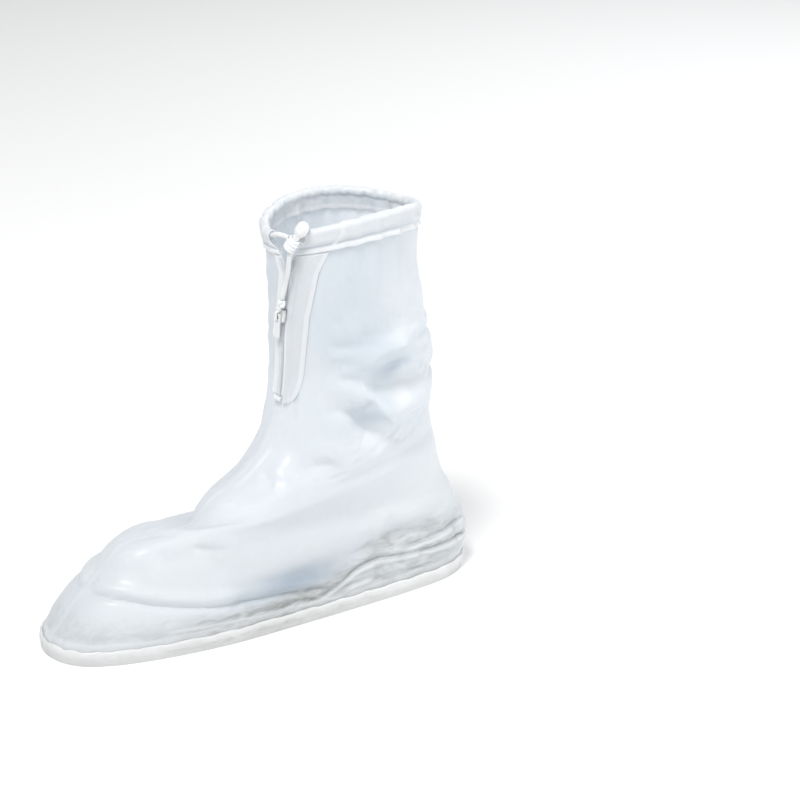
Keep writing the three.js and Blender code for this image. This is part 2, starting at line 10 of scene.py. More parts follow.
import bpy
import numpy as np
from mathutils import Matrix, Vector


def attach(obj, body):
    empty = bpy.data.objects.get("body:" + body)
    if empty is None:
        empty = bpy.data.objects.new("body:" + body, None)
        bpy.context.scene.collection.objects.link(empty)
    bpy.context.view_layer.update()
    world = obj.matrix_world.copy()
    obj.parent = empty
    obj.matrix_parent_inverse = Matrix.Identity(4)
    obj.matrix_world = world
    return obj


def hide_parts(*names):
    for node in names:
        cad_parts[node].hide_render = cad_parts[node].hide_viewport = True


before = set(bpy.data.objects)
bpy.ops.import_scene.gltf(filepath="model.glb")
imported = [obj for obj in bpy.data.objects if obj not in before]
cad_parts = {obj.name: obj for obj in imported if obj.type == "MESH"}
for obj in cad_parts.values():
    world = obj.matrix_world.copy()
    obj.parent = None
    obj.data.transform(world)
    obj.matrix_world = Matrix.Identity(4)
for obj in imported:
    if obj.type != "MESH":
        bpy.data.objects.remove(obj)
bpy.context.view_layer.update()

MM = 0.001

# ---------------------------------------------------------------- camera and light

VIEW_TURN = 60  # how far the camera stands round the boot, in degrees from in front of the toe
VIEW_RISE = 25  # and above the floor
VIEW_DISTANCE = 2.0
LENS_MM = 126
AIM_RIGHT = 0.0508  # how far the camera looks past the sole's middle, as shares of the distance
AIM_UP = 0.0709

# The soft boxes: name, place, side, watts and colour.
SOFT_BOXES = [
    ("key_light", (0.7, -1.0, 2.4), 0.7, 52, (1.0, 0.99, 0.975)),
    ("fill_light", (1.5, 1.5, 0.9), 1.3, 17, (1.0, 0.995, 0.985)),
    ("rim_light", (-0.9, 1.7, 1.4), 1.0, 12, (0.97, 0.985, 1.0)),
]
SHAFT_MIDDLE = (0, 0.02, 0.12)
SURROUND_COLOUR = (0.98, 0.99, 1.0, 1)
SURROUND_STRENGTH = 0.46
FLOOR_SIDE = 14


def shown(name, data):
    """A new object in the scene, of a mesh, a light or a camera."""
    made = bpy.data.objects.new(name, data)
    bpy.context.collection.objects.link(made)
    return made


def make_camera():
    """The camera, at the photograph's angle to the boot."""
    turn, rise = math.radians(VIEW_TURN), math.radians(VIEW_RISE)
    back = Vector((math.sin(turn) * math.cos(rise), -math.cos(turn) * math.cos(rise), math.sin(rise)))
    right = Vector((math.cos(turn), math.sin(turn), 0))
    up = back.cross(right)
    ahead = (-back + AIM_RIGHT * right + AIM_UP * up).normalized()
    upright = Matrix((right, up, back)).transposed()
    tilt = (-back).rotation_difference(ahead).to_matrix()
    data = bpy.data.cameras.new("camera")
    data.lens = LENS_MM
    camera = shown("camera", data)
    camera.matrix_world = Matrix.Translation(back * VIEW_DISTANCE) @ (tilt @ upright).to_4x4()
    bpy.context.scene.camera = camera


def soft_box(name, place, size, watts, colour):
    """A square area light that faces the boot's shaft."""
    data = bpy.data.lights.new(name, "AREA")
    data.size = size
    data.energy = watts
    data.color = colour
    light = shown(name, data)
    light.location = place
    ahead = Vector(SHAFT_MIDDLE) - Vector(place)
    light.rotation_euler = ahead.to_track_quat("-Z", "Y").to_euler()


def make_studio():
    """A plain pale floor, three soft boxes and an even surround."""
    bpy.ops.mesh.primitive_plane_add(size=FLOOR_SIDE)
    floor = bpy.context.object
    floor.name = "floor"
    floor.data.materials.append(floor_material())
    for row in SOFT_BOXES:
        soft_box(*row)
    world = bpy.data.worlds.new("surround")
    world.use_nodes = True
    background = world.node_tree.nodes["Background"]
    background.inputs["Color"].default_value = SURROUND_COLOUR
    background.inputs["Strength"].default_value = SURROUND_STRENGTH
    bpy.context.scene.world = world
    bpy.context.scene.view_settings.view_transform = "Standard"


# ---------------------------------------------------------------- the film's shape

FILM = 1.2 * MM  # the CAD's film, on which the other pieces are laid
THIN_FILM = 0.7 * MM  # the film that shows
LAYER_GAP = 0.5 * MM  # from the film to what lies on it
SOLE_FLOOR = 2.6 * MM
SOLE_RIM = 2.0 * MM
SOLE_GAP = 0.45 * MM  # from the film to the sole's turned-up edge
CORD_RADIUS = 1.6 * MM
HEM_LEVEL = 16  # the hem's edge
RIM_LEVEL = 17
SLIDER_LEVEL = 14
ZIP_FOOT_LEVEL = 11.6
TAPE_TOP_LEVEL = HEM_LEVEL - 0.06  # the tapes and the placket end just under the hem
TUNNEL_RISE = 3.4 * MM
TUNNEL_RADIUS = 3.1 * MM
TAPE = 0.8 * MM
TAPE_WIDTH = 8 * MM

# The sole's outline for each 18 degrees of turn: half its width, and where its middle lies.
SOLE_OUTLINE = [
    (0, 0.12), (0.44, 0.11), (0.74, 0.06), (0.93, 0.01), (1, 0), (0.95, 0),
    (0.88, 0), (0.8, 0), (0.68, 0), (0.42, 0), (0, 0),
]
OUTLINE_STEP = 180 / (len(SOLE_OUTLINE) - 1)

# Sections through the film, one for each level, as in the CAD source: frontY, frontZ, backY,
# backZ and half in millimetres, then sole, arch, roll and shift.
SECTIONS = [
    (-166.5, 3, 164.5, 3, 53.7, 1, 0, 0, 0),
    (-166.5, 12, 167, 12, 54.5, 1, 0, 0, 0),
    (-156.5, 25, 168.5, 27, 55.5, 1, 0, 0, 0),
    (-144.5, 38.5, 164, 44, 51.5, 0.95, -1, 0, 1),
    (-127.5, 55, 156, 59, 46, 0.85, -4, 1, 3),
    (-113.5, 69.5, 147, 75, 39.5, 0.7, -7, 3, 6),
    (-88, 73.5, 141, 89, 36.5, 0.5, -8, 5, 9),
    (-63, 74.5, 137, 102, 36, 0.35, -5, 6, 11),
    (-43, 89.5, 135, 115, 38, 0.2, -7, 4, 8),
    (-17.5, 102, 134, 128, 41, 0.1, -5, 2, 5),
    (2, 118.5, 135.5, 143, 45, 0.05, -3, 1, 1),
    (11, 140, 136, 160, 48, 0, -1, 0, 0),
    (14.5, 165, 133.5, 178, 49.5, 0, 0, 0, 0),
    (15, 190, 129, 198, 50, 0, 1, 0, 0),
    (15, 214, 124.5, 219, 50, 0, 3, 1, 0),
    (14, 237, 120, 243, 50, 0, 5, 2, 0),
    (12.5, 257, 119, 266, 50, 0, 7, 4, 0),
    (11.5, 265.5, 119, 274.5, 50, 0, 9, 5, 0),
]

# The main dents and folds: turn and level at each end, then reach and depth in millimetres.
FOLDS = [
    (84, 11.9, 112, 11.7, 11, -5),
    (72, 11, 86, 10.3, 11, -4),
    (92, 10.6, 120, 10.7, 11, 4),
    (80, 12.7, 104, 12.9, 10, 3),
    (50, 9.3, 64, 9.2, 9, -2.5),
    (120, 3.3, 152, 2.6, 9, -3.5),
    (72, 2.5, 112, 2.9, 13, -3.5),
    (-30, 5.6, 10, 6.3, 14, 2.5),
    (36, 4.7, 52, 4.9, 9, -2.2),
    (-84, 11.6, -120, 11.9, 12, -4.5),
    (-76, 10.4, -112, 10.5, 11, 3.5),
    (-56, 9.4, -78, 8.8, 10, -2.5),
    (-118, 3.3, -150, 2.7, 9, -3),
    (-60, 2.6, -84, 2.5, 10, -2),
    (150, 11.2, -150, 11.4, 10, -3),
]

# The closure: level, the turn of its middle line, and half the turn between its two edges.
CLOSURE = np.array([
    (9, 0, 0),
    (11.5, 7, 0),
    (14, 9, 0),
    (15.3, 15.5, 0),
    (16, 17, 7.5),
    (17, 16.5, 18),
], float)


def smooth(low, high, value):
    """0 below low, 1 above high, and a smooth step between them; low may be the higher one."""
    t = np.clip((value - low) / (high - low), 0, 1)
    return t * t * (3 - 2 * t)


def hump(value, middle, reach):
    """A smooth hump of height 1 round a middle."""
    return np.exp(-(((value - middle) / reach) ** 2))


def unit(vectors):
    """Vectors scaled to length 1."""
    return vectors / np.maximum(np.linalg.norm(vectors, axis=-1, keepdims=True), 1e-12)


def run_along(line):
    """How far along a line each of its points lies."""
    return np.concatenate([[0], np.cumsum(np.linalg.norm(np.diff(line, axis=0), axis=1))])


def table_value(rows, position):
    """Rows of a table at fractional positions, on smooth curves through them."""
    rows = np.asarray(rows, float)
    last = len(rows) - 1
    position = np.clip(position, 0, last)
    row = np.minimum(position.astype(int), last - 1)
    t = (position - row).reshape(position.shape + (1,) * (rows.ndim - 1))
    ghosts = np.concatenate([2 * rows[:1] - rows[1:2], rows, 2 * rows[-1:] - rows[-2:-1]])
    a, b, c, d = (ghosts[row + k] for k in range(4))
    slope, next_slope = (c - a) / 2, (d - b) / 2
    bend = 3 * (c - b) - 2 * slope - next_slope
    return b + t * (slope + t * (bend + t * (2 * (b - c) + slope + next_slope)))


def signed_turn(turn):
    """A turn from -180 to 180."""
    return (np.asarray(turn, float) + 180) % 360 - 180


def base_point(turn, level):
    """The smooth film, before dents and folds."""
    turn, level = np.broadcast_arrays(signed_turn(turn), np.asarray(level, float))
    side = np.where(turn < 0, -1.0, 1.0)
    angle = np.abs(turn)
    section = np.moveaxis(table_value(SECTIONS, level), -1, 0)
    front_y, front_z, back_y, back_z, half, sole, arch, roll, shift = section
    along = -np.cos(np.radians(angle))
    outline_half, middle = np.moveaxis(table_value(SOLE_OUTLINE, angle / OUTLINE_STEP), -1, 0)
    oval = side * np.sin(np.radians(angle))
    across = oval * (1 - sole) + (middle + side * outline_half) * sole
    lift = arch * (1 - along**2) + roll * across
    x = half * across + shift
    y = (front_y + back_y) / 2 + (back_y - front_y) / 2 * along
    z = (front_z + back_z) / 2 + (back_z - front_z) / 2 * along + lift
    return MM * np.stack([x, y, z], -1)


def directions(turn, level):
    """Directions on the film: up, towards the rim, and outwards."""
    across = base_point(turn + 0.5, level) - base_point(turn - 0.5, level)
    high = base_point(turn, np.minimum(level + 0.02, RIM_LEVEL))
    up = high - base_point(turn, np.maximum(level - 0.02, 0))
    return unit(up), unit(np.cross(across, up))


def nearest_on(places, start, end):
    """For places near a segment: the nearest point on it, and its share of the way along."""
    along = end - start
    share = np.clip(((places - start) @ along) / max(along @ along, 1e-12), 0, 1)
    return start + share[..., None] * along, share


def fold_height(places):
    """How far the main dents and folds move places on the film along its normal."""
    height = np.zeros(places.shape[:-1])
    for turn0, level0, turn1, level1, reach, depth in FOLDS:
        near, _ = nearest_on(places, base_point(turn0, level0), base_point(turn1, level1))
        height += depth * MM * hump(np.linalg.norm(places - near, axis=-1), 0, reach * MM)
    return height


def pleats(seed, spacing, turn):
    """A rippling height from -1 to 1 round the boot, with crests of uneven size and distance."""
    dice = np.random.default_rng(seed)
    places = [0.0]
    while places[-1] < 360 - 1.5 * spacing:
        places.append(places[-1] + spacing * dice.uniform(0.6, 1.4))
    heights = dice.uniform(0.35, 1, len(places)) * np.where(np.arange(len(places)) % 2, 1, -1)
    places = np.array(places + [360.0])
    heights = np.append(heights, heights[0])
    at = np.asarray(turn, float) % 360
    k = np.clip(np.searchsorted(places, at, "right") - 1, 0, len(places) - 2)
    t = smooth(places[k], places[k + 1], at)
    return heights[k] * (1 - t) + heights[k + 1] * t


def clear_of_closure(turn):
    """0 beside the zip and the placket, and 1 where the film is free to ripple."""
    turn = signed_turn(turn)
    return np.where(turn > 10, smooth(52, 68, turn), smooth(-2, -16, turn))


def gather_height(turn, level):
    """The gathers that the drawstring makes in the hem, and that run out down the shaft."""
    long = pleats(3, 9, turn + 1.5 * (RIM_LEVEL - level))
    short = pleats(5, 4.6, turn)
    reach = smooth(13.2, 15.8, level) * np.exp(-np.clip(HEM_LEVEL - level, 0, None) / 0.6)
    at_rim = smooth(HEM_LEVEL, RIM_LEVEL, level)
    height = reach * (1.1 * long + 0.4 * short) * (1 - 0.55 * at_rim)
    return MM * height * clear_of_closure(turn)


def film_point(turn, level, outward=0.0, above=0.0, gathered=True):
    """Points at a distance outwards from the film's outer face, and a distance above it."""
    turn, level = np.broadcast_arrays(np.asarray(turn, float), np.asarray(level, float))
    places = base_point(turn, level)
    up, outwards = directions(turn, level)
    height = outward + fold_height(places)
    if gathered:
        height = height + gather_height(turn, level)
    above = np.broadcast_to(above, turn.shape)
    return places + outwards * height[..., None] + up * above[..., None]


def closure_middle(level):
    """The turn of the closure's middle line."""
    return np.interp(level, CLOSURE[:, 0], CLOSURE[:, 1])


def closure_half(level):
    """Half the turn between the closure's two edges."""
    return np.interp(level, CLOSURE[:, 0], CLOSURE[:, 2])


def degree_length(turn, level):
    """The arc of one degree of turn at a place on the film."""
    return np.linalg.norm(base_point(turn + 0.5, level) - base_point(turn - 0.5, level), axis=-1)


def turn_beside(side, level, distance):
    """The turn that lies a distance outside the closure's edge, on one side (1 or -1)."""
    edge = closure_middle(level) + side * closure_half(level)
    return edge + side * distance / degree_length(edge, level)


SEAM_GAP = 0.02 * MM  # between the two panels, where they are welded


def film_turn(share, level):
    """Turns round the film: share 0 is its inner front edge, 1 the back seam and 2 the outer edge."""
    inner = turn_beside(1, level, SEAM_GAP)
    outer = turn_beside(-1, level, SEAM_GAP)
    on_inner = inner + (180 - inner) * share
    on_outer = 180 + (180 + outer) * (share - 1)
    return np.where(share <= 1, on_inner, on_outer)


# ---------------------------------------------------------------- settling the film

SIM_HALF = 66  # columns of the simulated film on each side
SIM_ROWS = 70
SIM_ROUNDS = 500
SIM_SEED = 11
FIRST_RIPPLE = 0.6 * MM  # the small ripples that the folds start from
RIPPLE_CELLS = [((34, 22), 1), ((66, 44), 0.5)]  # and how many lie along the grid, with their share
BRACE_STIFFNESS = 0.35  # of the slanting threads; the others have 1
BENDING = 0.05
RETURN_RATE = 0.003  # how much of its move free film loses in each round
REACH_IN = 8 * MM  # how far the film may move inwards
REACH_OUT = 0.8 * MM  # and outwards
REACH_OUT_AT_ANKLE = 2.4 * MM  # more than that
VAMP_LEVEL = 6.5
EASE_ROUNDS = 40  # of smoothing over the vamp, where the sections lie close together


def film_grid(first, last, columns, rows):
    """Turns and levels over a stretch of the film, as a grid."""
    share, level = np.meshgrid(
        np.linspace(first, last, columns + 1), np.linspace(0, RIM_LEVEL, rows + 1), indexing="ij"
    )
    return film_turn(share, level), level


def held(turn, level):
    """1 where the film is welded, zipped or hemmed, falling to 0 where it hangs free."""
    sole = smooth(1.9, 1.1, level)
    hem = smooth(15.1, 15.7, level)
    turn = signed_turn(turn)
    length = degree_length(turn, level)
    beside = (turn - closure_middle(level)) * length
    inner_edge = smooth(42 * MM, 28 * MM, beside)
    outer_edge = smooth(30 * MM, 16 * MM, -beside)
    shaft = smooth(10.9, 11.6, level)
    closure = np.where(beside > 0, inner_edge, outer_edge) * shaft
    toe_seam = 0.5 * smooth(10 * MM, 4 * MM, np.abs(beside)) * (1 - shaft)
    back_seam = 0.5 * smooth(8 * MM, 3 * MM, (180 - np.abs(turn)) * length)
    return np.max([sole, hem, closure, toe_seam, back_seam], axis=0)


def slack(turn, level):
    """How much longer the film is than the space it fills, as shares: round the boot and up it."""
    around = np.abs(signed_turn(turn))
    ankle = hump(level, 11.3, 1.6) * (0.2 + 0.8 * smooth(45, 85, around))
    instep = hump(level, 8.3, 1.6) * smooth(150, 100, around)
    toe = hump(level, 5.2, 1.6) * smooth(110, 60, around)
    heel = hump(level, 3.0, 2.2) * smooth(85, 125, around)
    edge = hump(level, 1.9, 0.7)
    shaft = hump(level, 13.6, 1.2)
    round_it = 0.008 + 0.024 * heel + 0.02 * edge - 0.004 * shaft + 0.01 * instep + 0.01 * toe
    up_it = 0.01 + 0.1 * ankle + 0.022 * instep + 0.012 * toe + 0.035 * heel + 0.01 * shaft
    return round_it, up_it


def soft_noise(shape, cells, dice):
    """Smooth random heights from -1 to 1 over a grid, with some cells along each side."""
    coarse = dice.uniform(-1, 1, (cells[0] + 1, cells[1] + 1))
    first = table_value(coarse, np.linspace(0, cells[0], shape[0]))
    return table_value(first.T, np.linspace(0, cells[1], shape[1])).T


def draw_together(place, free, a, b, length, stiffness):
    """Moves the points of two parts of the grid towards their resting distance."""
    gap = place[b] - place[a]
    now = np.maximum(np.linalg.norm(gap, axis=-1), 1e-9)
    pull = stiffness * (now - length) / now / (free[a] + free[b] + 1e-6)
    move = gap * pull[..., None]
    place[a] += move * free[a][..., None]
    place[b] -= move * free[b][..., None]


def stretch_rules(start, free, round_it, up_it):
    """The resting distances of the film's threads: parts of the grid, lengths and stiffness."""
    def mean(values, axis):
        values = np.moveaxis(values, axis, 0)
        return np.moveaxis((values[1:] + values[:-1]) / 2, 0, axis)

    edge_round = np.diff(start, axis=0) * (1 + mean(round_it * free, 0))[..., None]
    edge_up = np.diff(start, axis=1) * (1 + mean(up_it * free, 1))[..., None]
    quad_round, quad_up = mean(edge_round, 1), mean(edge_up, 0)
    along, up = (np.linalg.norm(edge, axis=-1) for edge in (edge_round, edge_up))
    rising = np.linalg.norm(quad_round + quad_up, axis=-1)
    falling = np.linalg.norm(quad_round - quad_up, axis=-1)
    rules = []
    for first in (0, 1):
        low, high = slice(first, -1, 2), slice(first + 1, None, 2)
        rules.append((np.s_[low, :], np.s_[high, :], along[first::2], 1.0))
        rules.append((np.s_[:, low], np.s_[:, high], up[:, first::2], 1.0))
        rules.append((np.s_[low, :-1], np.s_[high, 1:], rising[first::2], BRACE_STIFFNESS))
        rules.append((np.s_[low, 1:], np.s_[high, :-1], falling[first::2], BRACE_STIFFNESS))
    return rules


def even_out(grid, share):
    """Moves each inner point of a grid a share of the way to the mean of its four neighbours."""
    mean = (grid[2:, 1:-1] + grid[:-2, 1:-1] + grid[1:-1, 2:] + grid[1:-1, :-2]) / 4
    grid[1:-1, 1:-1] += (mean - grid[1:-1, 1:-1]) * share


def settle_film():
    """
    The moves of a grid of film that is a little larger than its space: it resists stretching and
    bending and is held at its welds, zip and hem, so that it buckles into folds between them.
    """
    turn, level = film_grid(0, 2, 2 * SIM_HALF, SIM_ROWS)
    start = film_point(turn, level)
    _, outwards = directions(turn, level)
    hold = held(turn, level)
    free = 1 - hold
    dice = np.random.default_rng(SIM_SEED)
    noise = sum(share * soft_noise(turn.shape, cells, dice) for cells, share in RIPPLE_CELLS)
    moved = outwards * (FIRST_RIPPLE * noise * free)[..., None]
    rules = stretch_rules(start, free, *slack(turn, level))
    away_from_back = smooth(170, 135, np.abs(signed_turn(turn)))
    reach_out = REACH_OUT + REACH_OUT_AT_ANKLE * hump(level, 11.3, 1.5) * away_from_back
    kept = 1 - (RETURN_RATE + (1 - RETURN_RATE) * hold**3)
    for _ in range(SIM_ROUNDS):
        place = start + moved
        for a, b, length, stiffness in rules:
            draw_together(place, free, a, b, length, stiffness)
        moved = place - start
        even_out(moved, BENDING)
        moved *= kept[..., None]
        out = np.einsum("ijk,ijk->ij", moved, outwards)
        moved += outwards * (np.clip(out, -REACH_IN, reach_out) - out)[..., None]
        moved[0] = moved[-1] = (moved[0] + moved[-1]) / 2
    on_vamp = hump(level, VAMP_LEVEL, 1.0)[1:-1, 1:-1, None]
    for _ in range(EASE_ROUNDS):
        even_out(moved, 0.5 * on_vamp)
    return moved


# ---------------------------------------------------------------- creases

HEEL_FOLD = [
    (91, 1.3), (98, 1.4), (102, 1.8), (107, 2.25), (115, 2.4), (125, 2.25), (137, 2.15), (158, 2.05),
    (176, 2.0),
]
HEEL_SECOND_FOLD = [(122, 2.55), (134, 2.6), (148, 2.65), (162, 2.72), (176, 2.8)]
ARCH_STRIP = [(103, 1.2), (108, 1.42), (114, 1.5)]

# Sharper folds that are pressed into the settled film: the places that the line passes (turn and
# level, towards a larger turn), then its width and depth (negative is a valley), and how far the
# film bulges on the line's upper side, in millimetres.
CREASES = [
    # inner side: the film tucks in under the shoe's welt
    ([(2, 3.3), (26, 3.25), (45, 2.85), (62, 2.4), (80, 2.1), (91, 1.9), (101, 1.6)], 2.0, -2.6, 2.0),
    # inner side: the heel's two folds, which run down into the arch
    (HEEL_FOLD, 1.3, -2.2, 0.9),
    (HEEL_SECOND_FOLD, 1.2, -1.8, 0.6),
    ([(104, 2.9), (112, 3.2), (124, 3.3)], 3.4, -0.7, 0.4),
    ([(107, 3.0), (114, 3.25), (124, 3.3), (138, 3.6), (154, 4.0)], 3.4, -0.7, 0.4),
    (ARCH_STRIP, 1.6, 1.3, 0.0),
    ([(112, 1.5), (124, 1.35), (138, 1.5)], 1.4, -1.3, 0.5),
    ([(118, 1.95), (128, 1.85), (142, 1.75), (156, 1.7)], 1.3, -1.2, 0.4),
    # inner side: the film folds over at the ankle
    ([(72, 12.15), (78, 12.7), (92, 12.95), (110, 12.8)], 3.0, 1.8, 0.0),
    ([(72, 12.15), (77, 11.5), (90, 10.7), (102, 10.0)], 3.0, 2.2, 0.0),
    ([(79, 11.9), (84, 11.35), (97, 10.75)], 4.0, -1.3, 0.0),
    ([(98, 11.25), (104, 11.15), (111, 11.2)], 7.0, 2.2, 0.0),
    ([(86, 12.4), (100, 12.3), (116, 11.9)], 3.0, -1.8, 0.6),
    ([(57, 11.3), (66, 10.95), (75, 10.5), (92, 9.9)], 3.4, -2.4, 1.2),
    ([(104, 9.4), (118, 9.0), (134, 9.3)], 3.5, -1.8, 0.8),
    ([(122, 11.3), (140, 11.0), (158, 11.2)], 3.2, -2.0, 1.0),
    # beside the placket
    ([(21, 12.3), (24, 11.5), (26, 10.8)], 1.6, -1.3, 0.0),
    ([(17, 11.4), (19, 11.9)], 1.4, -1.0, 0.0),
    # instep and toe box
    ([(49, 9.5), (64, 9.35), (78, 9.0)], 3.0, -1.8, 0.8),
    ([(16, 9.3), (30, 9.0), (42, 8.6)], 3.0, -1.3, 0.6),
    ([(40, 5.45), (52, 4.95), (63, 4.7)], 2.6, -1.5, 0.6),
    ([(-6, 5.5), (12, 5.9), (28, 5.9)], 3.0, -1.4, 0.8),
    ([(20, 7.3), (34, 6.9), (44, 6.4)], 3.0, -1.3, 0.4),
    ([(-30, 7.4), (-14, 7.1), (6, 7.3)], 3.0, -1.4, 0.6),
    # outer side
    ([(-98, 2.2), (-75, 2.3), (-50, 2.8), (-30, 3.2), (-2, 3.3)], 2.4, -2.2, 1.4),
    ([(-165, 2.1), (-138, 2.5), (-118, 2.3), (-104, 1.8), (-96, 1.4)], 1.8, -2.2, 1.0),
    ([(-142, 4.2), (-128, 3.5), (-110, 3.2)], 2.6, -1.6, 0.8),
    ([(-112, 12.5), (-92, 12.7), (-74, 12.3), (-64, 11.6)], 3.0, 1.8, 0.0),
    ([(-108, 11.2), (-90, 11.3), (-74, 11.7)], 2.8, -2.2, 0.8),
    ([(-92, 9.7), (-74, 10.4), (-56, 11.2)], 3.2, -2.2, 1.0),
    ([(-150, 10.4), (-132, 10.0), (-112, 10.2)], 3.2, -2.0, 1.0),
    ([(-72, 8.8), (-56, 9.2), (-40, 9.3)], 3.0, -1.6, 0.6),
    ([(-58, 4.9), (-42, 5.3), (-26, 5.2)], 2.6, -1.4, 0.6),
    # over the heel tendon
    ([(150, 10.3), (172, 10.0), (196, 10.3)], 3.4, -2.2, 1.2),
    ([(158, 12.2), (180, 12.0), (206, 12.3)], 3.4, -1.8, 1.0),
    ([(166, 8.4), (184, 8.2), (204, 8.6)], 3.0, -1.5, 0.8),
]
CREASE_FADE = 9 * MM  # over which a crease dies out at its ends
CREASE_STEPS = 5  # points on its line for each place given above
FAR_AWAY = 1.0  # metres, before a nearest point is found


def line_on_film(line):
    """Points on a smooth curve along the smooth film, through a line of turns and levels."""
    turn, level = table_value(line, np.linspace(0, len(line) - 1, CREASE_STEPS * len(line))).T
    return base_point(turn, level)


def in_box_round(corners, places, margin):
    """Which places lie in the box round some corners, or less than a margin outside it."""
    return np.all((places > corners.min(0) - margin) & (places < corners.max(0) + margin), -1)


def crease_height(places, outwards):
    """How far the creases move places on the smooth film along its normal."""
    height = np.zeros(places.shape[:-1])
    for line, width, depth, bulge in CREASES:
        corners = line_on_film(line)
        inside = in_box_round(corners, places, 6 * width * MM)
        if inside.any():
            height[inside] += one_crease(places[inside], outwards[inside], corners, width, depth, bulge)
    return height


def bridge_height(turn, level):
    """How far the film stands off where it bridges the hollow between the toes and the instep."""
    on_inner = hump(signed_turn(turn), 38, 24)
    return 3.6 * MM * on_inner * (hump(level, 6.6, 0.8) - 0.75 * hump(level, 8.3, 0.8))


def beside_line(places, outwards, corners):
    """For places on the film: how far a line is, whether it lies above it, and its fading ends."""
    steps = np.diff(corners, axis=0)
    run = run_along(corners)
    best = np.full(len(places), FAR_AWAY)
    upper, gone = np.zeros(len(places)), np.zeros(len(places))
    for k, step in enumerate(steps):
        near, share = nearest_on(places, corners[k], corners[k + 1])
        apart = places - near
        distance = np.linalg.norm(apart, axis=-1)
        above = np.einsum("ij,ij->i", np.cross(outwards, step), apart) > 0
        closer = distance < best
        best = np.where(closer, distance, best)
        upper = np.where(closer, above, upper)
        gone = np.where(closer, run[k] + share * (run[k + 1] - run[k]), gone)
    ends = smooth(0, CREASE_FADE, gone) * smooth(0, CREASE_FADE, run[-1] - gone)
    return best, upper, ends


def one_crease(places, outwards, corners, width, depth, bulge):
    """How far one crease, along a line of corners, moves places along their normals."""
    best, upper, ends = beside_line(places, outwards, corners)
    valley = depth * np.exp(-((best / (width * MM)) ** 1.6))
    shoulder = bulge * hump(best, 3 * width * MM, 2 * width * MM) * upper
    return MM * ends * (valley + shoulder)


# Lines of painted shade in the folds over the sole, and of painted highlight on their edges: the
# places that the line passes, how many millimetres it lies above them, its width, and its strength
# (negative is painted highlight).
PAINTED_FOLD_LINES = [
    (HEEL_FOLD, 0, 1.6, 0.75),
    (HEEL_FOLD, -3.2, 1.3, -0.7),
    (HEEL_SECOND_FOLD, 0, 1.5, 0.6),
    (HEEL_SECOND_FOLD, -2.8, 1.3, -0.7),
    (ARCH_STRIP, 0, 1.5, -0.9),
    (ARCH_STRIP, -3.5, 2.0, 0.8),
    ([(58, 1.75), (70, 1.65), (84, 1.45), (98, 1.2)], 0, 1.5, 0.7),
    ([(50, 1.5), (66, 1.42), (80, 1.25), (92, 1.1)], 0, 1.2, -0.6),
    ([(40, 1.3), (54, 1.22), (70, 1.1)], 0, 1.6, 0.5),
    ([(-161, 2.1), (-138, 2.45), (-118, 2.3), (-104, 1.8), (-96, 1.4)], 0, 1.6, 0.6),
]


def painted_fold_marks(places, outwards, up):
    """How much painted shade (grey) and painted highlight the fold lines put on places on the smooth
    film.
    """
    grey, light = np.zeros(places.shape[:-1]), np.zeros(places.shape[:-1])
    for line, rise, width, strength in PAINTED_FOLD_LINES:
        corners = line_on_film(line)
        near = places - up * rise * MM
        inside = in_box_round(corners, near, 4 * width * MM)
        if inside.any():
            best, _, ends = beside_line(near[inside], outwards[inside], corners)
            mark = grey if strength > 0 else light
            mark[inside] += abs(strength) * ends * hump(best, 0, width * MM)
    return np.clip(grey, 0, 1), np.clip(light, 0, 1)


# ---------------------------------------------------------------- meshes


def make_mesh(name, points, faces, material, sharp_angle=50):
    """A shown mesh object with smooth faces that are creased where they meet at a sharp angle."""
    mesh = bpy.data.meshes.new(name)
    mesh.from_pydata(np.asarray(points).reshape(-1, 3).tolist(), [], faces)
    mesh.polygons.foreach_set("use_smooth", [True] * len(mesh.polygons))
    mesh.set_sharp_from_angle(angle=math.radians(sharp_angle))
    mesh.materials.append(material)
    mesh.validate()
    return shown(name, mesh)


def paint(piece, name, values):
    """A number at each of the piece's points, which its material reads by name."""
    attribute = piece.data.attributes.new(name, "FLOAT", "POINT")
    attribute.data.foreach_set("value", np.asarray(values, np.float32).ravel())


def paint_wall(piece, **marks):
    """Numbers on both faces of a wall, by name, each as a grid over one face."""
    for name, values in marks.items():
        paint(piece, name, np.tile(np.ravel(values), 2))


def grid_faces(rows, columns, first=0, closed_rows=False, closed_columns=False):
    """Quads over a grid of points, numbered row by row."""
    row = np.arange(rows if closed_rows else rows - 1)
    column = np.arange(columns if closed_columns else columns - 1)
    row, column = np.meshgrid(row, column, indexing="ij")
    next_row, next_column = (row + 1) % rows, (column + 1) % columns
    corners = [(row, column), (next_row, column), (next_row, next_column), (row, next_column)]
    return first + np.stack([r * columns + c for r, c in corners], -1).reshape(-1, 4)


def facing_out(points, quads):
    """The quads, turned over where they would enclose a negative volume."""
    a, b, c, d = (points[quads[:, k]] for k in range(4))
    volume = np.einsum("ij,ij", a, np.cross(b, c)) + np.einsum("ij,ij", a, np.cross(c, d))
    return quads if volume > 0 else quads[:, ::-1]


def wall_mesh(name, outer, inner, material):
    """A closed wall between two grids of points, an outer and an inner face."""
    rows, columns = outer.shape[:2]
    count = rows * columns
    points = np.concatenate([outer.reshape(-1, 3), inner.reshape(-1, 3)])
    quads = [grid_faces(rows, columns), grid_faces(rows, columns, count)[:, ::-1]]
    index = np.arange(count).reshape(rows, columns)
    for border in (index[:, 0], index[::-1, -1], index[0, ::-1], index[-1]):
        quads.append(np.stack([border[1:], border[:-1], border[:-1] + count, border[1:] + count], -1))
    quads = facing_out(points, np.concatenate(quads))
    return make_mesh(name, points, quads.tolist(), material)


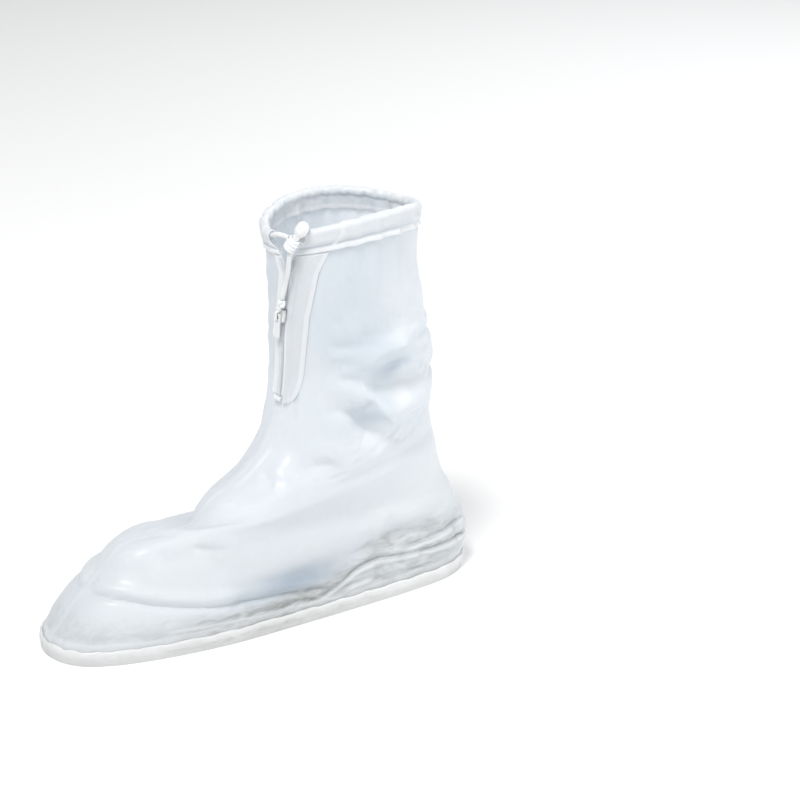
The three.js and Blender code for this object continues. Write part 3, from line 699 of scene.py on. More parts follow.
def ring_mesh(name, rings, material, closed=False, sharp_angle=50):
    """A closed solid through rings of points, capped at its two ends or joined end to end."""
    rings = np.asarray(rings, float)
    count, size = rings.shape[:2]
    points = rings.reshape(-1, 3)
    quads = grid_faces(count, size, 0, closed, True)
    turned_over = facing_out(points, quads)[0, 0] != quads[0, 0]
    faces = quads.tolist()
    if not closed:
        faces += [list(range(size)), list(range(count * size - 1, (count - 1) * size - 1, -1))]
    if turned_over:
        faces = [face[::-1] for face in faces]
    return make_mesh(name, points, faces, material, sharp_angle)


def bent_corner(before, corner, after, radius, steps):
    """Points on a curve that rounds off a corner between two others."""
    cut = [min(radius, 0.45 * np.linalg.norm(p - corner)) for p in (before, after)]
    start = corner + unit(before - corner) * cut[0]
    end = corner + unit(after - corner) * cut[1]
    t = np.linspace(0, 1, steps + 1)[:, None]
    return (1 - t) ** 2 * start + 2 * t * (1 - t) * corner + t * t * end


def rounded(profile, radius, steps=4):
    """A line of [across, up] points with its inner corners rounded off."""
    profile = np.array(profile, float)
    bends = [bent_corner(*profile[k - 1: k + 2], radius, steps) for k in range(1, len(profile) - 1)]
    return np.vstack([profile[:1], *bends, profile[-1:]])


def closed_profile(corners, radius, steps=4):
    """A closed outline with rounded corners."""
    corners = np.array(corners, float)
    around = zip(np.roll(corners, 1, 0), corners, np.roll(corners, -1, 0))
    return np.vstack([bent_corner(*three, radius, steps) for three in around])


def share_grid(low, high, columns, rows):
    """Shares across, from low to high, and up, from 0 to 1, over a grid of points."""
    return np.meshgrid(np.linspace(low, high, columns), np.linspace(0, 1, rows), indexing="ij")


def film_wall(name, turn, level, top, foot, material, gathered=True):
    """A wall along the film, between two distances outside it."""
    outer, inner = (film_point(turn, level, outward, gathered=gathered) for outward in (top, foot))
    return wall_mesh(name, outer, inner, material)


def full_turn(count):
    """Angles at even steps, all the way round."""
    return np.linspace(0, 2 * math.pi, count, endpoint=False)


def swept(line, side, section):
    """Rings of a flat section along a line: its x lies along one side, its y across both."""
    ahead = unit(np.gradient(line, axis=0))
    side = np.array(side, float)
    over = unit(np.cross(ahead, side))
    section = np.asarray(section)
    return line[:, None] + section[None, :, :1] * side + section[None, :, 1:] * over[:, None]


def placed(piece, matrix):
    """A piece whose mesh is moved from its own frame into the boot's."""
    piece.data.transform(matrix)
    return piece


def turn_from_z(direction):
    """The turn, as a matrix, that takes +Z to a direction."""
    return Vector((0, 0, 1)).rotation_difference(Vector(direction).normalized()).to_matrix().to_4x4()


def sided(stem, side):
    """The name of one of two pieces: on the inner side (1) or the outer one (-1)."""
    return stem + ("_inner" if side > 0 else "_outer")


def joined(name, pieces):
    """Several mesh objects joined into one."""
    bpy.ops.object.select_all(action="DESELECT")
    for one in pieces:
        one.select_set(True)
    bpy.context.view_layer.objects.active = pieces[0]
    bpy.ops.object.join()
    pieces[0].name = name
    return pieces[0]


def dress(piece, body, slot, *replaced):
    """Puts a piece on its body, in place of CAD nodes; the slot is not used."""
    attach(piece, body)
    if replaced:
        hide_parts(*replaced)


# ---------------------------------------------------------------- materials

# Colours of the film and the sole, and of the marks that are painted on them: welds, scuffs and
# dirt, painted shade and painted highlights.
FROSTED = (0.95, 0.963, 0.975, 1), (0.89, 0.92, 0.945, 1)
DOUBLED = (0.955, 0.965, 0.978, 1), (0.91, 0.935, 0.96, 1)
VINYL = (0.96, 0.965, 0.97, 1), (0.91, 0.92, 0.925, 1)
# the white of the welds, also used for the film's painted highlights
WELD_AND_HIGHLIGHT_WHITE = (0.965, 0.97, 0.98, 1)
SHADE_BLUE = (0.50, 0.575, 0.65, 1)
# the grey of scuffs and of painted shade, low on the film
SCUFF_AND_SHADE_GREY = (0.37, 0.375, 0.36, 1)
# thin white lines of painted highlight on crinkles
CRINKLE_HIGHLIGHT_WHITE = (0.90, 0.91, 0.90, 1)
# the sole's grey: dirt, and painted shade at the arch
SOLE_DIRT_AND_SHADE = (0.42, 0.42, 0.40, 1)
CLEAR_TINT = (0.95, 0.975, 1.0, 1)
THROUGH = 0.4  # the share of the light that glows through film and sole


class Graph:
    """A material's nodes. An input that is another node's output is linked, and others are set."""

    def __init__(self, name):
        self.material = bpy.data.materials.new(name)
        self.material.use_nodes = True
        self.nodes = self.material.node_tree.nodes
        self.links = self.material.node_tree.links
        self.nodes.clear()

    def add(self, kind, output=0, settings=None, **inputs):
        """Adds a node and gives one of its outputs. Inputs are named, or in<number> by place."""
        node = self.nodes.new("ShaderNode" + kind)
        for key, value in (settings or {}).items():
            setattr(node, key, value)
        for key, value in inputs.items():
            place = int(key[2:]) if key[:2] == "in" and key[2:].isdigit() else key.replace("_", " ")
            if isinstance(value, bpy.types.NodeSocket):
                self.links.new(value, node.inputs[place])
            else:
                node.inputs[place].default_value = value
        return node.outputs[output]

    def math(self, operation, a, b=0.0, clamp=False):
        """Arithmetic on two numbers, held from 0 to 1 with clamp."""
        return self.add("Math", settings={"operation": operation, "use_clamp": clamp}, in0=a, in1=b)

    def times(self, a, b):
        """Two numbers multiplied."""
        return self.math("MULTIPLY", a, b)

    def place(self):
        """Where a point of the surface is, in metres in the piece's own frame."""
        return self.add("TexCoord", output=3)

    def stretched(self, x, y, z):
        """That place with each direction scaled, so that a texture on it is drawn out."""
        return self.add("Mapping", Vector=self.place(), Scale=(x, y, z))

    def noise(self, scale, detail=3.0, roughness=0.5, distortion=0.0, vector=None):
        """Soft noise from about 0 to 1. The scale is in cells a metre."""
        place = self.place() if vector is None else vector
        inputs = {"Vector": place, "Scale": scale, "Detail": detail, "Roughness": roughness}
        return self.add("TexNoise", Distortion=distortion, **inputs)

    def ridges(self, scale, detail, roughness, distortion, vector=None):
        """Noise that is 0 along thin wandering lines and rises on both sides of them."""
        noise = self.noise(scale, detail, roughness, distortion, vector)
        return self.math("ABSOLUTE", self.math("SUBTRACT", noise, 0.5))

    def spread(self, value, low, high, to_low=0.0, to_high=1.0):
        """A value from low to high, spread over another range and held inside it."""
        return self.add("MapRange", in0=value, in1=low, in2=high, in3=to_low, in4=to_high)

    def mix(self, share, a, b):
        """A colour between two, each a colour or another node's output."""
        return self.add("Mix", output=2, settings={"data_type": "RGBA"}, in0=share, in6=a, in7=b)

    def attribute(self, name):
        """The number that is painted on the mesh under a name."""
        return self.add("Attribute", output=2, settings={"attribute_name": name})

    def bump(self, height, distance, strength=1.0, normal=None):
        """The normal of a surface with a height map on it, on top of another one's bumps."""
        inputs = {"Height": height, "Distance": distance, "Strength": strength}
        if normal is not None:
            inputs["Normal"] = normal
        return self.add("Bump", **inputs)

    def glowing(self, colour, normal, **finish):
        """A surface that part of the light glows through."""
        surface = self.add("BsdfPrincipled", Base_Color=colour, Normal=normal, **finish)
        through = self.add("BsdfTranslucent", Color=colour, Normal=normal)
        return self.add("MixShader", in0=THROUGH, in1=surface, in2=through)

    def finish(self, shader):
        """Ends the graph in a shader's output, and gives the material."""
        node = self.nodes.new("ShaderNodeOutputMaterial")
        self.links.new(shader, node.inputs["Surface"])
        return self.material


def floor_material():
    """Plain pale studio floor."""
    graph = Graph("floor_paint")
    tone = graph.mix(graph.noise(2.0), (0.93, 0.93, 0.93, 1), (0.95, 0.95, 0.95, 1))
    return graph.finish(graph.add("BsdfPrincipled", Base_Color=tone, Roughness=0.7))


def film_material(name, tints, clear):
    """
    Frosted film: glossy, cloudy and part clear. It lets light glow through, is whiter and denser
    where it is welded and where highlights are painted, bluer where shadow is painted, and grey and
    streaky where scuffs and shade are painted, with thin white lines of painted highlight there.
    """
    graph = Graph(name)
    weld, haze, shadow = (graph.attribute(mark) for mark in ("weld", "haze", "shadow"))
    cloud = graph.noise(24, 4, 0.5, 0.3)
    fine = graph.noise(900, 2, 0.5)
    along_sole = graph.stretched(1.1, 0.34, 1.5)
    streaks = graph.noise(150, 5, 0.6, 0.8, along_sole)
    threads = graph.ridges(95, 4, 0.6, 1.2, along_sole)
    colour = graph.mix(graph.spread(cloud, 0.35, 0.68), *tints)
    colour = graph.mix(shadow, colour, SHADE_BLUE)
    # grey streaks, partly scuffs and partly painted shade
    scuff_and_shade_share = graph.times(haze, graph.spread(streaks, 0.36, 0.64, 0.2, 0.95))
    colour = graph.mix(scuff_and_shade_share, colour, SCUFF_AND_SHADE_GREY)
    # thin white lines in the grey: painted highlights on crinkles
    light = graph.times(haze, graph.spread(threads, 0.012, 0.0, 0.0, 0.7))
    colour = graph.mix(light, colour, CRINKLE_HIGHLIGHT_WHITE)
    # whiter where the film is welded and where highlights are painted
    colour = graph.mix(graph.times(weld, 0.75), colour, WELD_AND_HIGHLIGHT_WHITE)
    crinkle = graph.spread(graph.ridges(60, 4, 0.5, 0.9), 0.0, 0.16)
    weave = graph.noise(1500, 1, 0.5)
    normal = graph.bump(crinkle, 0.0003, 0.45)
    grain = graph.math("ADD", streaks, graph.times(weave, 0.25))
    normal = graph.bump(grain, 0.00012, 0.5, normal)
    rough = graph.spread(fine, 0.3, 0.7, 0.34, 0.46)
    body = graph.glowing(
        colour, normal, Roughness=rough, IOR=1.46, Coat_Weight=0.22, Coat_Roughness=0.16
    )
    open_share = graph.spread(cloud, 0.3, 0.7, clear * 1.2, clear * 0.8)
    dense = graph.math("ADD", graph.times(weld, 0.6), graph.times(haze, 0.5))
    open_share = graph.math("MULTIPLY", open_share, graph.math("SUBTRACT", 1.0, dense), clamp=True)
    empty = graph.add("BsdfTransparent", Color=CLEAR_TINT)
    return graph.finish(graph.add("MixShader", in0=open_share, in1=body, in2=empty))


def sole_material():
    """Thicker, milky vinyl with greyish mottling and scuffs along its turned-up edge, greyest at the
    arch, where the grey is partly painted shade.
    """
    graph = Graph("sole_vinyl")
    haze = graph.attribute("haze")
    along_sole = graph.stretched(1.0, 0.3, 1.4)
    cloud = graph.noise(60, 5, 0.6, 0.8, along_sole)
    scuffs = graph.noise(190, 5, 0.6, 0.8, along_sole)
    colour = graph.mix(graph.spread(cloud, 0.35, 0.65), *VINYL)
    dirt_and_shade = graph.times(haze, graph.spread(scuffs, 0.38, 0.66, 0.05, 0.5))
    colour = graph.mix(dirt_and_shade, colour, SOLE_DIRT_AND_SHADE)
    pebble = graph.add("TexVoronoi", Vector=graph.place(), Scale=620.0)
    normal = graph.bump(scuffs, 0.00012, 0.4)
    normal = graph.bump(pebble, 0.00005, 0.25, normal)
    rough = graph.spread(scuffs, 0.3, 0.7, 0.3, 0.48)
    return graph.finish(graph.glowing(colour, normal, Roughness=rough))


def plastic_material(name, colour, roughness):
    """Moulded nylon: an even colour, a satin face and a light grain."""
    graph = Graph(name)
    speck = graph.noise(700, 3, 0.55)
    tone = [c * 0.93 for c in colour[:3]] + [1]
    mixed = graph.mix(graph.spread(graph.noise(160, 3), 0.3, 0.7), colour, tone)
    surface = graph.add(
        "BsdfPrincipled", Base_Color=mixed, Normal=graph.bump(speck, 0.00006, 0.4),
        Roughness=graph.spread(speck, 0.3, 0.7, roughness, roughness + 0.12),
        Subsurface_Weight=0.15, Subsurface_Radius=(1, 1, 1), Subsurface_Scale=0.002,
    )
    return graph.finish(surface)


def cord_material():
    """White braided polyester."""
    graph = Graph("cord_braid")
    fibre = graph.noise(2600, 3, 0.6, 0.3)
    soil = graph.noise(120, 3)
    colour = graph.mix(graph.spread(fibre, 0.3, 0.7), (0.66, 0.68, 0.70, 1), (0.88, 0.89, 0.90, 1))
    colour = graph.mix(graph.spread(soil, 0.5, 0.8, 0, 0.35), colour, (0.72, 0.74, 0.76, 1))
    surface = graph.add(
        "BsdfPrincipled", Base_Color=colour, Roughness=0.78, Sheen_Weight=0.25, Sheen_Roughness=0.5,
        Normal=graph.bump(fibre, 0.0001, 0.7),
    )
    return graph.finish(surface)


def tape_material():
    """Woven zip tape."""
    graph = Graph("zip_weave")
    place = graph.place()
    threads = [
        graph.add("TexWave", settings={"bands_direction": way}, Vector=place, Scale=scale, Distortion=0.6)
        for way, scale in (("Z", 520), ("X", 420))
    ]
    weave = graph.times(*threads)
    colour = graph.mix(weave, (0.74, 0.77, 0.80, 1), (0.90, 0.92, 0.94, 1))
    surface = graph.add(
        "BsdfPrincipled", Base_Color=colour, Roughness=0.75, Sheen_Weight=0.2,
        Normal=graph.bump(weave, 0.00015, 0.6),
    )
    return graph.finish(surface)


# ---------------------------------------------------------------- film pieces

PANEL_COLUMNS = 180
PANEL_ROWS = 230
SEAM_SHARE = 0.0001  # half the gap between the panels at the back seam, as a share of the film
WELD_WIDTH = 1.8 * MM
WELD_RISE = 0.14 * MM

# Soft round patches on both sides of the film, each with strength, turn and its reach, level and
# its reach: first the patches of painted bluish shade.
PAINTED_SHADE_PATCHES = [
    (0.95, 88, 15, 2.55, 0.62),  # the hollow over the arch
    (0.6, 98, 12, 12.15, 0.45),  # under the ankle's folds
    (0.35, 78, 13, 10.75, 0.4),
]
# then the patches of painted white highlight
PAINTED_HIGHLIGHT_PATCHES = [
    (1, 104, 7, 11.2, 0.42),  # the bulge under the ankle's folds
    (0.75, 156, 26, 6.0, 1.7),  # the heel over its fold
]
# The level that the grey of scuffs and painted shade over the sole reaches, at some turns.
SCUFF_AND_SHADE_TOP = [(0, 2.2), (60, 1.8), (80, 1.6), (98, 2.0), (115, 3.3), (137, 3.5), (160, 3.2)]


def upsampled(grid, columns, rows):
    """A grid of values on a finer grid, along smooth curves."""
    across = table_value(grid, np.linspace(0, len(grid) - 1, columns + 1))
    turned = np.swapaxes(across, 0, 1)
    return np.swapaxes(table_value(turned, np.linspace(0, len(turned) - 1, rows + 1)), 0, 1)


def seam_band(turn, level):
    """1 on the welded bands along the toe seam and the back seam, and 0 elsewhere."""
    turn = signed_turn(turn)
    length = degree_length(turn, level)
    toe = np.abs(turn - closure_middle(level)) * length
    toe = smooth(WELD_WIDTH + 0.5 * MM, WELD_WIDTH, toe) * smooth(11.5, 11.2, level)
    back = smooth(WELD_WIDTH + 0.5 * MM, WELD_WIDTH, (180 - np.abs(turn)) * length)
    return np.maximum(toe, back)


def haze_on_film(turn, level):
    """How grey the film is painted, partly scuffs and partly painted shade: most at the arch, then round
    the heel, just over the sole.
    """
    around = np.abs(signed_turn(turn))
    top = np.interp(around, *zip(*SCUFF_AND_SHADE_TOP))
    under = smooth(top + 0.7, top - 0.5, level)
    arch = hump(around, 86, 30)
    heel = 0.55 * smooth(98, 112, around) * (1 - 0.55 * smooth(130, 160, around))
    toe = 0.22 * smooth(95, 70, around)
    return np.clip(under * np.max([arch, heel, toe], axis=0), 0, 1)


def patches(rows, turn, level):
    """How strong each patch of a table is on the film."""
    around = np.abs(signed_turn(turn))
    return [
        strength * hump(around, middle, reach) * hump(level, middle_level, level_reach)
        for strength, middle, reach, middle_level, level_reach in rows
    ]


def shadow_on_film(turn, level):
    """Where the film is in soft bluish shade: its hollows, and a little on its sides and shaft."""
    around = np.abs(signed_turn(turn))
    side = 0.1 * hump(around, 75, 26) * smooth(3, 5, level)
    shaft = 0.22 * hump(around, 62, 45) * smooth(11.5, 13.5, level)
    return np.clip(sum(patches(PAINTED_SHADE_PATCHES, turn, level)) + side + shaft, 0, 1)


def film_panel(side, moves, material):
    """One side of the film, from the sole to the rim, with its folds, creases and welds, and its painted
    shade and painted highlights.
    """
    ends = (0, 1 - SEAM_SHARE) if side > 0 else (1 + SEAM_SHARE, 2)
    half = moves[: SIM_HALF + 1] if side > 0 else moves[SIM_HALF:]
    turn, level = film_grid(*ends, PANEL_COLUMNS, PANEL_ROWS)
    up, outwards = directions(turn, level)
    base = base_point(turn, level)
    band = seam_band(turn, level)
    creases = crease_height(base, outwards) * (1 - 0.7 * band)
    pressed = creases + WELD_RISE * band + bridge_height(turn, level)
    places = film_point(turn, level) + upsampled(half, PANEL_COLUMNS, PANEL_ROWS)
    places += outwards * pressed[..., None]
    normals = unit(np.cross(np.gradient(places, axis=0), np.gradient(places, axis=1)))
    panel = wall_mesh(sided("film", side), places, places - normals * THIN_FILM, material)
    # painted shade along the folds' valleys, and painted highlight on their edges
    grey, light = painted_fold_marks(base, outwards, up)
    low_weld = 0.5 * smooth(1.35, 1.2, level)
    # Whiter at the welds and at the painted highlights, grey at the scuffs and at the painted shade in
    # the folds, and bluish at the painted shade.
    paint_wall(
        panel,
        weld=np.max([0.3 * band, low_weld, light, *patches(PAINTED_HIGHLIGHT_PATCHES, turn, level)], axis=0),
        haze=np.maximum(haze_on_film(turn, level), grey) * (1 - light),
        shadow=shadow_on_film(turn, level),
    )
    return panel


GUSSET_FOOT_LEVEL = ZIP_FOOT_LEVEL + 0.5
GUSSET_TOP_MIDDLE = 15.45
GUSSET_TOP_SIDE = 15.9
GUSSET_HALF = 19 * MM  # half its width at the foot
GUSSET_FLARE = 7 * MM  # how much more it is at the top
GUSSET_SLACK = 0.6 * MM
GUSSET_RIPPLE = 0.8 * MM


def gusset_piece(material):
    """The film behind the opening, a little slack, with a welded top edge."""
    share, height = share_grid(-1, 1, 91, 81)
    top = GUSSET_TOP_MIDDLE + (GUSSET_TOP_SIDE - GUSSET_TOP_MIDDLE) * np.abs(share)
    level = GUSSET_FOOT_LEVEL + (top - GUSSET_FOOT_LEVEL) * height
    half = GUSSET_HALF + GUSSET_FLARE * height
    middle = closure_middle(level)
    turn = middle + share * half / degree_length(middle, level)
    loose = (1 - share**2) * smooth(0, 0.15, height)
    ripple = GUSSET_RIPPLE * loose * np.sin(9 * share + 5 * height**2) * smooth(0.35, 1, height)
    depth = FILM + LAYER_GAP + GUSSET_SLACK * loose + ripple
    piece = film_wall("gusset_film", turn, level, -depth, -depth - THIN_FILM, material, gathered=False)
    paint_wall(piece, weld=np.maximum(smooth(0.965, 0.98, height), smooth(0.9, 0.93, np.abs(share))))
    return piece


HEM_THICKNESS = 0.65 * MM
HEM_LAYER = 1.0 * MM  # the CAD's hem, whose middle this one follows
HEM_LEG_HEIGHT = 8.8 * MM  # from the hem's edge up to the rim
PUCKER = 0.3 * MM
HEM_STATIONS = 460
LEG_STEPS = 21
TUNNEL_STEPS = 27


def hem_path():
    """The hem's section: level, how far out, how high over the rim, and its normal (out, up)."""
    leg = FILM / 2 + LAYER_GAP + HEM_LAYER / 2
    levels = np.linspace(HEM_LEVEL, RIM_LEVEL, LEG_STEPS)
    swell = 1.0 * smooth(HEM_LEVEL + 0.26, HEM_LEVEL + 0.75, levels)
    lip = 0.45 * smooth(HEM_LEVEL + 0.24, HEM_LEVEL + 0.1, levels)
    path = [(level, leg + rise * MM, 0, 1, 0) for level, rise in zip(levels, swell + lip)]
    for angle in np.radians(np.linspace(-12, 230, TUNNEL_STEPS)):
        out, up = math.cos(angle), math.sin(angle)
        path.append((RIM_LEVEL, TUNNEL_RADIUS * out, TUNNEL_RISE + TUNNEL_RADIUS * up, out, up))
    path += [(level, -leg, 0, -1, 0) for level in levels[::-1]]
    return np.array(path)


PLACKET_FOOT_LEVEL = ZIP_FOOT_LEVEL - 0.2
PLACKET_NEAR = 5.2 * MM  # from the closure to its near edge
PLACKET_FAR = 7 * MM  # and to its far edge at the foot; a round corner and a flare widen it
PLACKET_CORNER = 10 * MM
PLACKET_FLARE = 8 * MM
CORNER_SHARE = 0.2  # of the placket's height


def placket_far_edge(level):
    """How far the placket's far edge is from the closure."""
    share = (level - PLACKET_FOOT_LEVEL) / (TAPE_TOP_LEVEL - PLACKET_FOOT_LEVEL)
    corner = np.sqrt(1 - (1 - np.clip(share / CORNER_SHARE, 0, 1)) ** 2)
    return PLACKET_FAR + PLACKET_CORNER * corner + PLACKET_FLARE * np.clip(share, 0, 1.1)


def hem_piece(material):
    """The hem: film folded over the rim, gathered on the drawstring and welded under it."""
    share = np.linspace(2, 0, HEM_STATIONS + 1)[:, None]
    level, out, rise, normal_out, normal_up = (column[None, :] for column in hem_path().T)
    turn = film_turn(share, level)
    leg, tunnel = rise == 0, (rise > 0) * clear_of_closure(turn)
    above_edge = (level - HEM_LEVEL) * HEM_LEG_HEIGHT
    slant = turn + 2.5 * rise / TUNNEL_RISE
    puckers = PUCKER * (0.7 * pleats(17, 3.4, slant) + pleats(23, 8, slant))
    on_leg = puckers * leg * clear_of_closure(turn) * smooth(0.3, 0.9, level - HEM_LEVEL)
    bead = 0.2 * MM * hump(above_edge, 0.7 * MM, 0.4 * MM) * leg
    place_out = -FILM / 2 + out + (on_leg + bead) * np.sign(out) + puckers * tunnel * normal_out
    place_up = rise + (puckers * normal_up + PUCKER * pleats(29, 5.5, turn)) * tunnel
    outer, inner = (
        film_point(turn, level, place_out + half * normal_out, place_up + half * normal_up)
        for half in (HEM_THICKNESS / 2, -HEM_THICKNESS / 2)
    )
    piece = wall_mesh("hem_film", outer, inner, material)
    edge_weld = smooth(2.4 * MM, 2.0 * MM, above_edge) * leg
    seam = np.abs(signed_turn(turn) - signed_turn(turn_beside(1, level, placket_far_edge(level))))
    valley = 0.55 * hump(above_edge, 2.9 * MM, 0.8 * MM) * leg * (out > 0)
    at_front = smooth(150, 60, np.abs(signed_turn(turn)))
    paint_wall(piece, weld=np.maximum(edge_weld, smooth(2.2, 1.4, seam)), shadow=valley * at_front)
    return piece


def placket_piece(material):
    """The film strip beside the zip, stepped over its tape, with a welded far edge."""
    share, height = share_grid(0, 1, 61, 171)
    level = PLACKET_FOOT_LEVEL + (TAPE_TOP_LEVEL - PLACKET_FOOT_LEVEL) * height
    far = placket_far_edge(level)
    across = PLACKET_NEAR + (far - PLACKET_NEAR) * share
    from_edge = far - across
    over_tape = smooth(TAPE_WIDTH + 2.2 * MM, TAPE_WIDTH + 0.6 * MM, across)
    weld = smooth(3.4 * MM, 3.0 * MM, from_edge)
    bead = hump(from_edge, 2.9 * MM, 0.5 * MM)
    ripple = 0.12 * pleats(53, 9, 360 * height + 25 * share) + 0.3 * pleats(59, 33, 360 * height)
    ripple = ripple * MM * share * (1 - weld)
    outward = LAYER_GAP + 0.3 * MM + (TAPE + 0.1 * MM) * over_tape + 0.12 * MM * bead + ripple
    outward = outward - 0.45 * MM * smooth(5 * MM, 0.5 * MM, from_edge)
    thick = THIN_FILM * (1 - 0.5 * smooth(2 * MM, 0, from_edge))
    turn = turn_beside(1, level, across)
    piece = film_wall("placket_film", turn, level, outward + thick, outward, material)
    top_weld = smooth(0.985, 0.99, height)
    paint_wall(piece, weld=np.maximum(0.8 * weld, top_weld), shadow=0.1 * (1 - weld))
    return piece


# ---------------------------------------------------------------- sole

SOLE_POINTS = 420
SOLE_TURNS = np.linspace(0, 360, SOLE_POINTS, endpoint=False)
TREAD_DEPTH = 1.2 * MM
TREAD_MARGIN = 7 * MM
TREAD_STEP = 8.5 * MM
CHEVRON = 7 * MM
# Across a bar and up, in millimetres.
TREAD_SECTION = [(-2.2, 1.3), (-1.7, 0.25), (-1.4, 0), (1.4, 0), (1.7, 0.25), (2.2, 1.3)]


def sole_ring(level, outward, height=None):
    """Points round the sole at a level, at a distance outside the film, or at a fixed height."""
    points = film_point(SOLE_TURNS, level, outward)
    if height is not None:
        points[:, 2] = height
    return points


def sole_body(material):
    """The tray: a plate whose edge turns up outside the film, crimped where it is welded."""
    outside = SOLE_GAP + SOLE_RIM
    crimp = MM * (0.35 * pleats(31, 2.6, SOLE_TURNS) + 0.45 * pleats(37, 8, SOLE_TURNS))
    edge = 0.86 + 0.06 * pleats(41, 5, SOLE_TURNS) + 0.02 * pleats(43, 2.2, SOLE_TURNS)
    # From under the plate, out and up to the edge, and down inside to the floor, a row for each
    # ring: its share of the edge's level, then its level, how far out it is and its height.
    rows = [
        (0, 0, -TREAD_MARGIN - 0.8 * MM, TREAD_DEPTH),
        (0, 0, -TREAD_MARGIN, 0),
        (0, 0, outside - 0.9 * MM, 0),
        (0, 0, outside - 0.3 * MM, 0.2 * MM),
    ]
    for share in np.linspace(0.05, 0.92, 9):
        bulge = 0.25 * MM * math.sin(math.pi * share) - 0.7 * MM * share**2
        rows.append((share, share * edge, outside + bulge + crimp * share, None))
    rows += [
        (0.975, 0.975 * edge, outside - 0.9 * MM + 0.8 * crimp, None),
        (1, edge, (outside + SOLE_GAP) / 2 - 0.2 * MM + 0.4 * crimp, None),
        (0.985, 0.985 * edge, SOLE_GAP + 0.1 * MM, None),
        (0.75, 0.75, SOLE_GAP, None),
        (0.5, 0.5, SOLE_GAP, None),
        (0, 0, SOLE_GAP, SOLE_FLOOR),
        (0, 0, -12 * MM, SOLE_FLOOR),
    ]
    body = ring_mesh("sole_tray", [sole_ring(*row[1:]) for row in rows], material)
    # greyest at the arch, where the grey is partly painted shade
    at_arch = 0.15 + 0.85 * hump(np.abs(signed_turn(SOLE_TURNS)), 84, 34)
    paint(body, "haze", [at_arch * hump(row[0], 0.4, 0.4) for row in rows])
    return body


def tread_bars(material):
    """Chevron bars under the plate, each from one side of the sole to the other."""
    ring = sole_ring(0, -TREAD_MARGIN - 2.5 * MM)
    right, left = ring[: SOLE_POINTS // 2 + 1], np.vstack([ring[SOLE_POINTS // 2:], ring[:1]])[::-1]
    bars = []
    for y in np.arange(ring[:, 1].min() + 12 * MM, ring[:, 1].max() - 6 * MM, TREAD_STEP):
        ends = [np.interp(y, side[:, 1], side[:, 0]) for side in (left, right)]
        x = np.linspace(*ends, 15)
        half = max((ends[1] - ends[0]) / 2, 1 * MM)
        bend = y - CHEVRON * (1 - np.abs(x - sum(ends) / 2) / half)
        rings = [[(px, py + a * MM, b * MM) for a, b in TREAD_SECTION] for px, py in zip(x, bend)]
        bars.append(ring_mesh("bar", rings, material, sharp_angle=30))
    return bars


# ---------------------------------------------------------------- cords

ROUTE_TO_INNER_END = [
    (0.0262, 0.0171, 0.2701),
    (0.0259, 0.0190, 0.2717),
    (0.0263, 0.0205, 0.2738),
]
ROUTE_FROM_OUTER_END = [
    (0.0024, 0.0106, 0.2702),
    (0.0070, 0.0096, 0.2720),
    (0.0120, 0.0096, 0.2731),
    (0.0168, 0.0106, 0.2733),
    (0.0208, 0.0118, 0.2727),
]
TAIL_ROUTE = [
    (0.0255, 0.0104, 0.2641),
    (0.0250, 0.0098, 0.2616),
    (0.0242, 0.0098, 0.2576),
    (0.0228, 0.0103, 0.2524),
    (0.0210, 0.0108, 0.2474),
    (0.0188, 0.0110, 0.2422),
    (0.0171, 0.0110, 0.2370),
    (0.0155, 0.0108, 0.2320),
    (0.0141, 0.0105, 0.2279),
]
KNOT_PLACE = (0.0137, 0.0102, 0.2207)
KNOT_CORD_RADIUS = 1.3 * MM  # the cord is drawn thinner where it is knotted
BRAID_STEP = 0.45 * MM
BRAID_SIDES = 18
BRAID_STRANDS = 6
BRAID_PITCH = 7.5 * MM


def curve_through(points, spacing):
    """Points at even spacing on a centripetal curve through some places."""
    points = np.asarray(points, float)
    points = np.vstack([2 * points[0] - points[1], points, 2 * points[-1] - points[-2]])
    knots = np.concatenate([[0], np.cumsum(np.sqrt(np.linalg.norm(np.diff(points, axis=0), axis=1)))])
    line = []
    for k in range(1, len(points) - 2):
        t0, t1, t2, t3 = knots[k - 1: k + 3]
        p0, p1, p2, p3 = points[k - 1: k + 3]
        t = np.linspace(t1, t2, 24, endpoint=False)[:, None]
        a1 = p0 + (p1 - p0) * (t - t0) / (t1 - t0)
        a2 = p1 + (p2 - p1) * (t - t1) / (t2 - t1)
        a3 = p2 + (p3 - p2) * (t - t2) / (t3 - t2)
        b1 = a1 + (a2 - a1) * (t - t0) / (t2 - t0)
        b2 = a2 + (a3 - a2) * (t - t1) / (t3 - t1)
        line.append(b1 + (b2 - b1) * (t - t1) / (t2 - t1))
    line = np.vstack([*line, points[-2:-1]])
    return evenly(line, spacing)


def evenly(line, spacing):
    """A line's points, moved to even spacing."""
    run = run_along(line)
    at = np.linspace(0, run[-1], max(int(round(run[-1] / spacing)), 1) + 1)
    return np.stack([np.interp(at, run, line[:, k]) for k in range(3)], -1)


def frames_along(line):
    """Two directions across each point of a line, which don't twist along it."""
    ahead = unit(np.gradient(line, axis=0))
    side = unit(np.cross(ahead[0], (0.3, 0.2, 1.0)))
    sides = []
    for direction in ahead:
        side = unit(side - direction * (side @ direction))
        sides.append(side)
    sides = np.array(sides)
    return sides, np.cross(ahead, sides)


def round_rings(line, across, over, radius, sides):
    """Rings of points round a line, whose radius may differ from point to point."""
    angle = full_turn(sides)
    radius = np.broadcast_to(radius, (len(line), sides))
    rings = line[:, None] + across[:, None] * (radius * np.cos(angle))[..., None]
    return rings + over[:, None] * (radius * np.sin(angle))[..., None]


